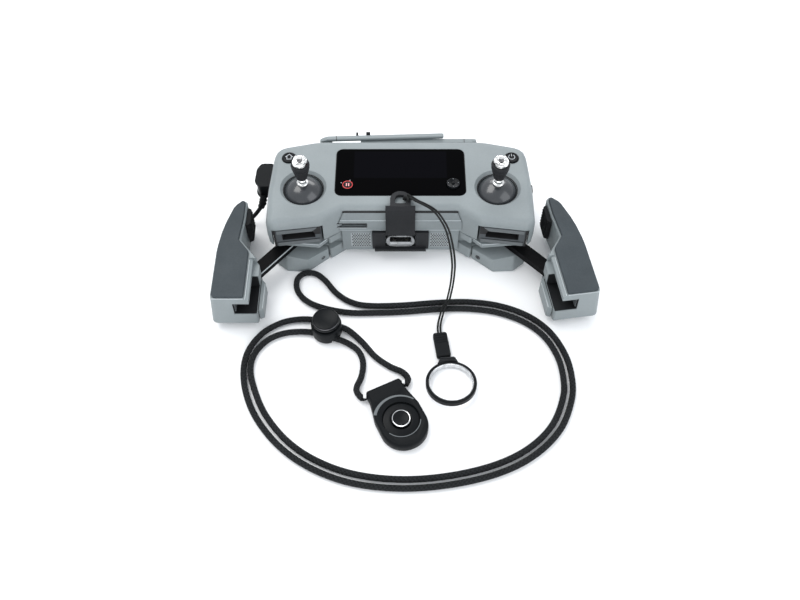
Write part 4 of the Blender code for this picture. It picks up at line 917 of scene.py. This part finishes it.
def grips():
    along = (SHOULDER - WRIST).normalized()
    across = Vector((-along.y, along.x))
    for side, word in ((-1, "left"), (1, "right")):
        arm_place, grip_place = side_frame(side), side_frame(side, True)
        body = f"grip_{word}"

        def on_grip(name, corners, z0, z1, material, edge=0.0):
            add(moved(prism(f"{name}_{word}", handed(side, corners), z0, z1, edge), grip_place), body,
                material)

        # Arm: rivets on its pivots, and on the left one a painted highlight, a bright strip on its front
        # edge where it catches the light.
        if side < 0:
            a, b = (end - along - across * 3.72 for end in (WRIST, SHOULDER))
            half = across * 0.22
            corners = [(*point, 0) for point in (a - half, b - half, b + half, a + half)]
            edge = prism(f"arm_edge_{word}", handed(side, corners), 13.85, 14.4)
            add(moved(edge, arm_place), f"arm_{word}", "painted_edge_highlight")
        for spot, name in ((WRIST, "wrist"), (SHOULDER, "shoulder")):
            cap = lathe(f"{name}_rivet_{word}", [(2.4, 14.3), (2.4, 14.55), (2.0, 14.75), (0.01, 14.75)],
                        (-side * spot.x, spot.y), 32)
            add(moved(cap, arm_place), f"arm_{word}", "dark_steel")
        # Phone slot: dark rubber on its floor and its ceiling; the dark sheets on its end and its far wall
        # are painted shade deep in the slot.
        on_grip("slot_floor", [(-76.6, -69.9, 0.4), (-76.6, -51.7, 0.4), (-88.3, -51.7, 0.4),
                               (-88.3, -69.9, 0.4)], 13.65, 14.0, "pad_rubber", 0.1)
        on_grip("slot_ceiling", [(-79.9, -69.6, 0.4), (-79.9, -51.7, 0.4), (-88.3, -51.7, 0.4),
                                 (-88.3, -69.6, 0.4)], 22.0, 22.35, "pad_rubber", 0.1)
        on_grip("slot_end", [(-87.9, -69.8, 0.2), (-87.9, -51.8, 0.2), (-88.45, -51.8, 0),
                             (-88.45, -69.8, 0)], 14.0, 22.0, "pad_rubber")
        on_grip("slot_back", [(-76.6, -52.0, 0), (-76.6, -51.55, 0), (-88.3, -51.55, 0),
                              (-88.3, -52.0, 0)], 14.0, 22.0, "pad_rubber")
        # Ribs on the slot's end, in a grey that paints light on them against the dark end.
        for i in range(4):
            z = 15.1 + 1.75 * i
            on_grip(f"slot_rib_{i}", [(-87.4, -69.3, 0.1), (-87.4, -52.0, 0.1), (-88.0, -52.0, 0),
                                      (-88.0, -69.3, 0)], z, z + 0.8, "painted_lit_grey")
        # Jaw: a painted highlight, a light rim line on its top, and a dark line where it meets the shell,
        # a joint with painted shade in its gap.
        on_grip("jaw_rim", [(-73.75, -66.4, 0), (-73.75, -50.6, 0), (-74.15, -50.6, 0),
                            (-74.15, -66.4, 0)], 13.1, 13.45, "painted_edge_highlight")
        on_grip("jaw_seam", [(-75.95, -67.4, 0), (-75.95, -48.0, 0), (-76.35, -48.0, 0),
                             (-76.35, -67.4, 0)], 5.4, 13.4, "seam_and_shade_dark")
        # Cover: a painted highlight, a light rim of the shell all round it, on the inner side and across
        # the near end.
        on_grip("cover_rim", [(-81.0, -69.4, 0.3), (-81.0, -44.0, 0.3), (-81.35, -44.0, 0),
                              (-81.35, -69.4, 0)], 26.1, 26.75, "painted_edge_highlight")
        on_grip("near_rim", [(-82.2, -69.45, 0), (-82.2, -69.05, 0), (-98.6, -69.05, 0),
                             (-98.6, -69.45, 0)], 26.3, 26.75, "painted_edge_highlight")
        # Grip pad: ribs for the phone's edge.
        for i in range(6):
            z = 11.6 + 2.3 * i
            on_grip(f"pad_rib_{i}", [(-83.05, -17.4, 0.2), (-83.25, -8.0, 0.2), (-84.2, -8.0, 0),
                                     (-84.2, -17.4, 0)], z, z + 1.1, "pad_rubber", 0.2)
        for i, (sx, sy) in enumerate(((-95.5, -62.0), (-92.0, -22.0))):
            screw = lathe(f"grip_screw_{i}_{word}",
                          [(0.01, 3.95), (1.3, 3.95), (1.5, 4.05), (1.5, 4.3), (0.01, 4.3)],
                          (-side * sx, sy), 32)
            add(moved(screw, grip_place), body, "dark_steel")


# ---------------------------------------------------------------- rear and underside


def rear():
    # Antenna seams near each hinge, the right hinge's cap, and two nubs behind the left bar.
    hinge = Vector((*LEFT_HINGE, 0)) * MM
    swung = Matrix.Translation(hinge) @ Matrix.Rotation(LEFT_SWING, 4, "Z") @ Matrix.Translation(-hinge)
    seam = prism("antenna_seam_left", rectangle((-37.2, 34.2), (-36.9, 37.3)), 36.3, 37.95)
    add(moved(seam, swung), "antenna_left", "seam_and_shade_dark")
    add(prism("antenna_seam_right", rectangle((36.9, 34.16), (37.2, 37.76)), 32.6, 35.55),
        "antenna_right", "seam_and_shade_dark")
    add(lathe("antenna_cap_right", [(1.2, 35.4), (1.2, 35.62), (1.0, 35.7), (0.01, 35.7)], RIGHT_HINGE,
              40), "antenna_right", "panel_grey")
    for i, (x, half) in enumerate(((-25.0, 0.6), (-18.6, 1.2))):
        nub = prism(f"antenna_nub_{i}", rectangle((x - half, 37.1), (x + half, 38.9), 0.4), 36.2, 38.7,
                    0.3)
        add(moved(nub, swung), "antenna_left", "satin_black")
    # Knurled dials: fine teeth round each wheel.
    slope = math.atan2(28 - 33.8, 72 - 47)
    hub = Vector((54, 33.8 + 7 * math.tan(slope))) + 5.4 * Vector((math.sin(slope), -math.cos(slope)))
    for side, word in ((-1, "left"), (1, "right")):
        outline = []
        for k in range(120):
            a = 2 * math.pi * k / 120
            radius = 7.4 if k % 4 in (0, 1) else 7.12
            outline.append(Vector((side * hub.x + radius * math.cos(a), hub.y + radius * math.sin(a))))
        wheel = stack(f"dial_wheel_{word}", [(24.4, inset(outline, 0.4)), (24.8, outline),
                                             (28.2, outline), (28.6, inset(outline, 0.4))])
        add(wheel, f"dial_{word}", "pad_rubber", (f"dial_{word}",))
    # Underside: four sunk screws and fine cooling slits.
    for i, (x, y) in enumerate(((-58, 20), (58, 20), (-58, -14), (58, -14))):
        well = lathe(f"base_screw_well_{i}", [(2.0, -0.02), (2.0, 0.04), (0.01, 0.04), (0.01, 0.03)],
                     (x, y), 32)
        add(well, "root", "seam_and_shade_dark")
        add(lathe(f"base_screw_{i}", [(0.01, 0.0), (1.4, -0.03), (1.5, 0.0), (1.5, 0.05)], (x, y), 32),
            "root", "dark_steel")
    for i in range(9):
        slit = prism(f"base_slit_{i}", rectangle((-16 + 4 * i - 0.5, -6), (-16 + 4 * i + 0.5, 8), 0.5),
                     -0.02, 0.03)
        add(slit, "root", "seam_and_shade_dark")


# ---------------------------------------------------------------- CAD nodes that stay


def keep_nodes():
    slots = {entry["node"]: entry["material_slot"] for entry in frame["record"]["subparts"]}
    widths = {"top_shell": 0.45, "lanyard_bracket": 0.3, "screen_glass": 0.2, "grip_cover": 0.35,
              "grip_shell": 0.5, "front_foot": 0.45, "antenna": 0.3, "stick_pocket": 0.35, "grip_arm": 0.3}
    for name, obj in NODES.items():
        if obj.hide_render:
            continue
        slot = slots[name]
        obj.data.materials.clear()
        obj.data.materials.append(MATERIALS[slot])
        width = next((w for key, w in widths.items() if name.startswith(key)), 0.25)
        if name == "bottom_shell":  # already chamfered round its base
            obj.modifiers.new("weld", "WELD").merge_threshold = 1e-6
            continue
        soften(obj, width, weld=True)


def stage():
    bm = bmesh.new()
    size = 3.0
    bm.faces.new([bm.verts.new((x * size, y * size, 0)) for x, y in ((-1, -1), (1, -1), (1, 1), (-1, 1))])
    floor = mesh_object("floor", bm)
    s = Shader("floor_white")
    cloud = s.noise(s.place(), 0.01, 2.0)
    s.set(s.out, "Base Color", s.tint((0.93, 0.935, 0.94), s.spread(cloud, 0.985, 1.0)))
    s.set(s.out, "Roughness", 0.6)
    s.set(s.out, "Specular IOR Level", 0.25)
    floor.data.materials.append(s.material)

    world = bpy.data.worlds.new("studio")
    world.use_nodes = True
    background = world.node_tree.nodes["Background"]
    background.inputs["Color"].default_value = (0.93, 0.96, 1.0, 1)
    background.inputs["Strength"].default_value = 0.92
    bpy.context.scene.world = world

    def lamp(name, location, size, power, target=(0, -0.04, 0), colour=(1, 1, 1)):
        data = bpy.data.lights.new(name, "AREA")
        data.shape = "RECTANGLE"
        data.size, data.size_y = size
        data.energy = power
        data.color = colour
        obj = bpy.data.objects.new(name, data)
        obj.location = location
        obj.rotation_euler = (Vector(target) - Vector(location)).to_track_quat("-Z", "Y").to_euler()
        bpy.context.collection.objects.link(obj)
    lamp("key", (-0.45, 0.25, 0.95), (0.8, 0.6), 6.5, colour=(1.0, 0.99, 0.97))
    lamp("front", (-0.15, -1.1, 0.30), (1.2, 0.5), 5.0)
    lamp("fill", (0.8, -0.5, 0.7), (0.9, 0.9), 4.0, colour=(0.93, 0.96, 1.0))
    lamp("back", (0.15, 0.9, 0.6), (1.0, 0.4), 4.5)
    bpy.context.scene.view_settings.view_transform = "Standard"


camera()
sticks()
face()
front()
grips()
rear()
lanyard_pieces()
neck_pieces()
neck_cord()
tether()
phone_lead()
keep_nodes()
stage()
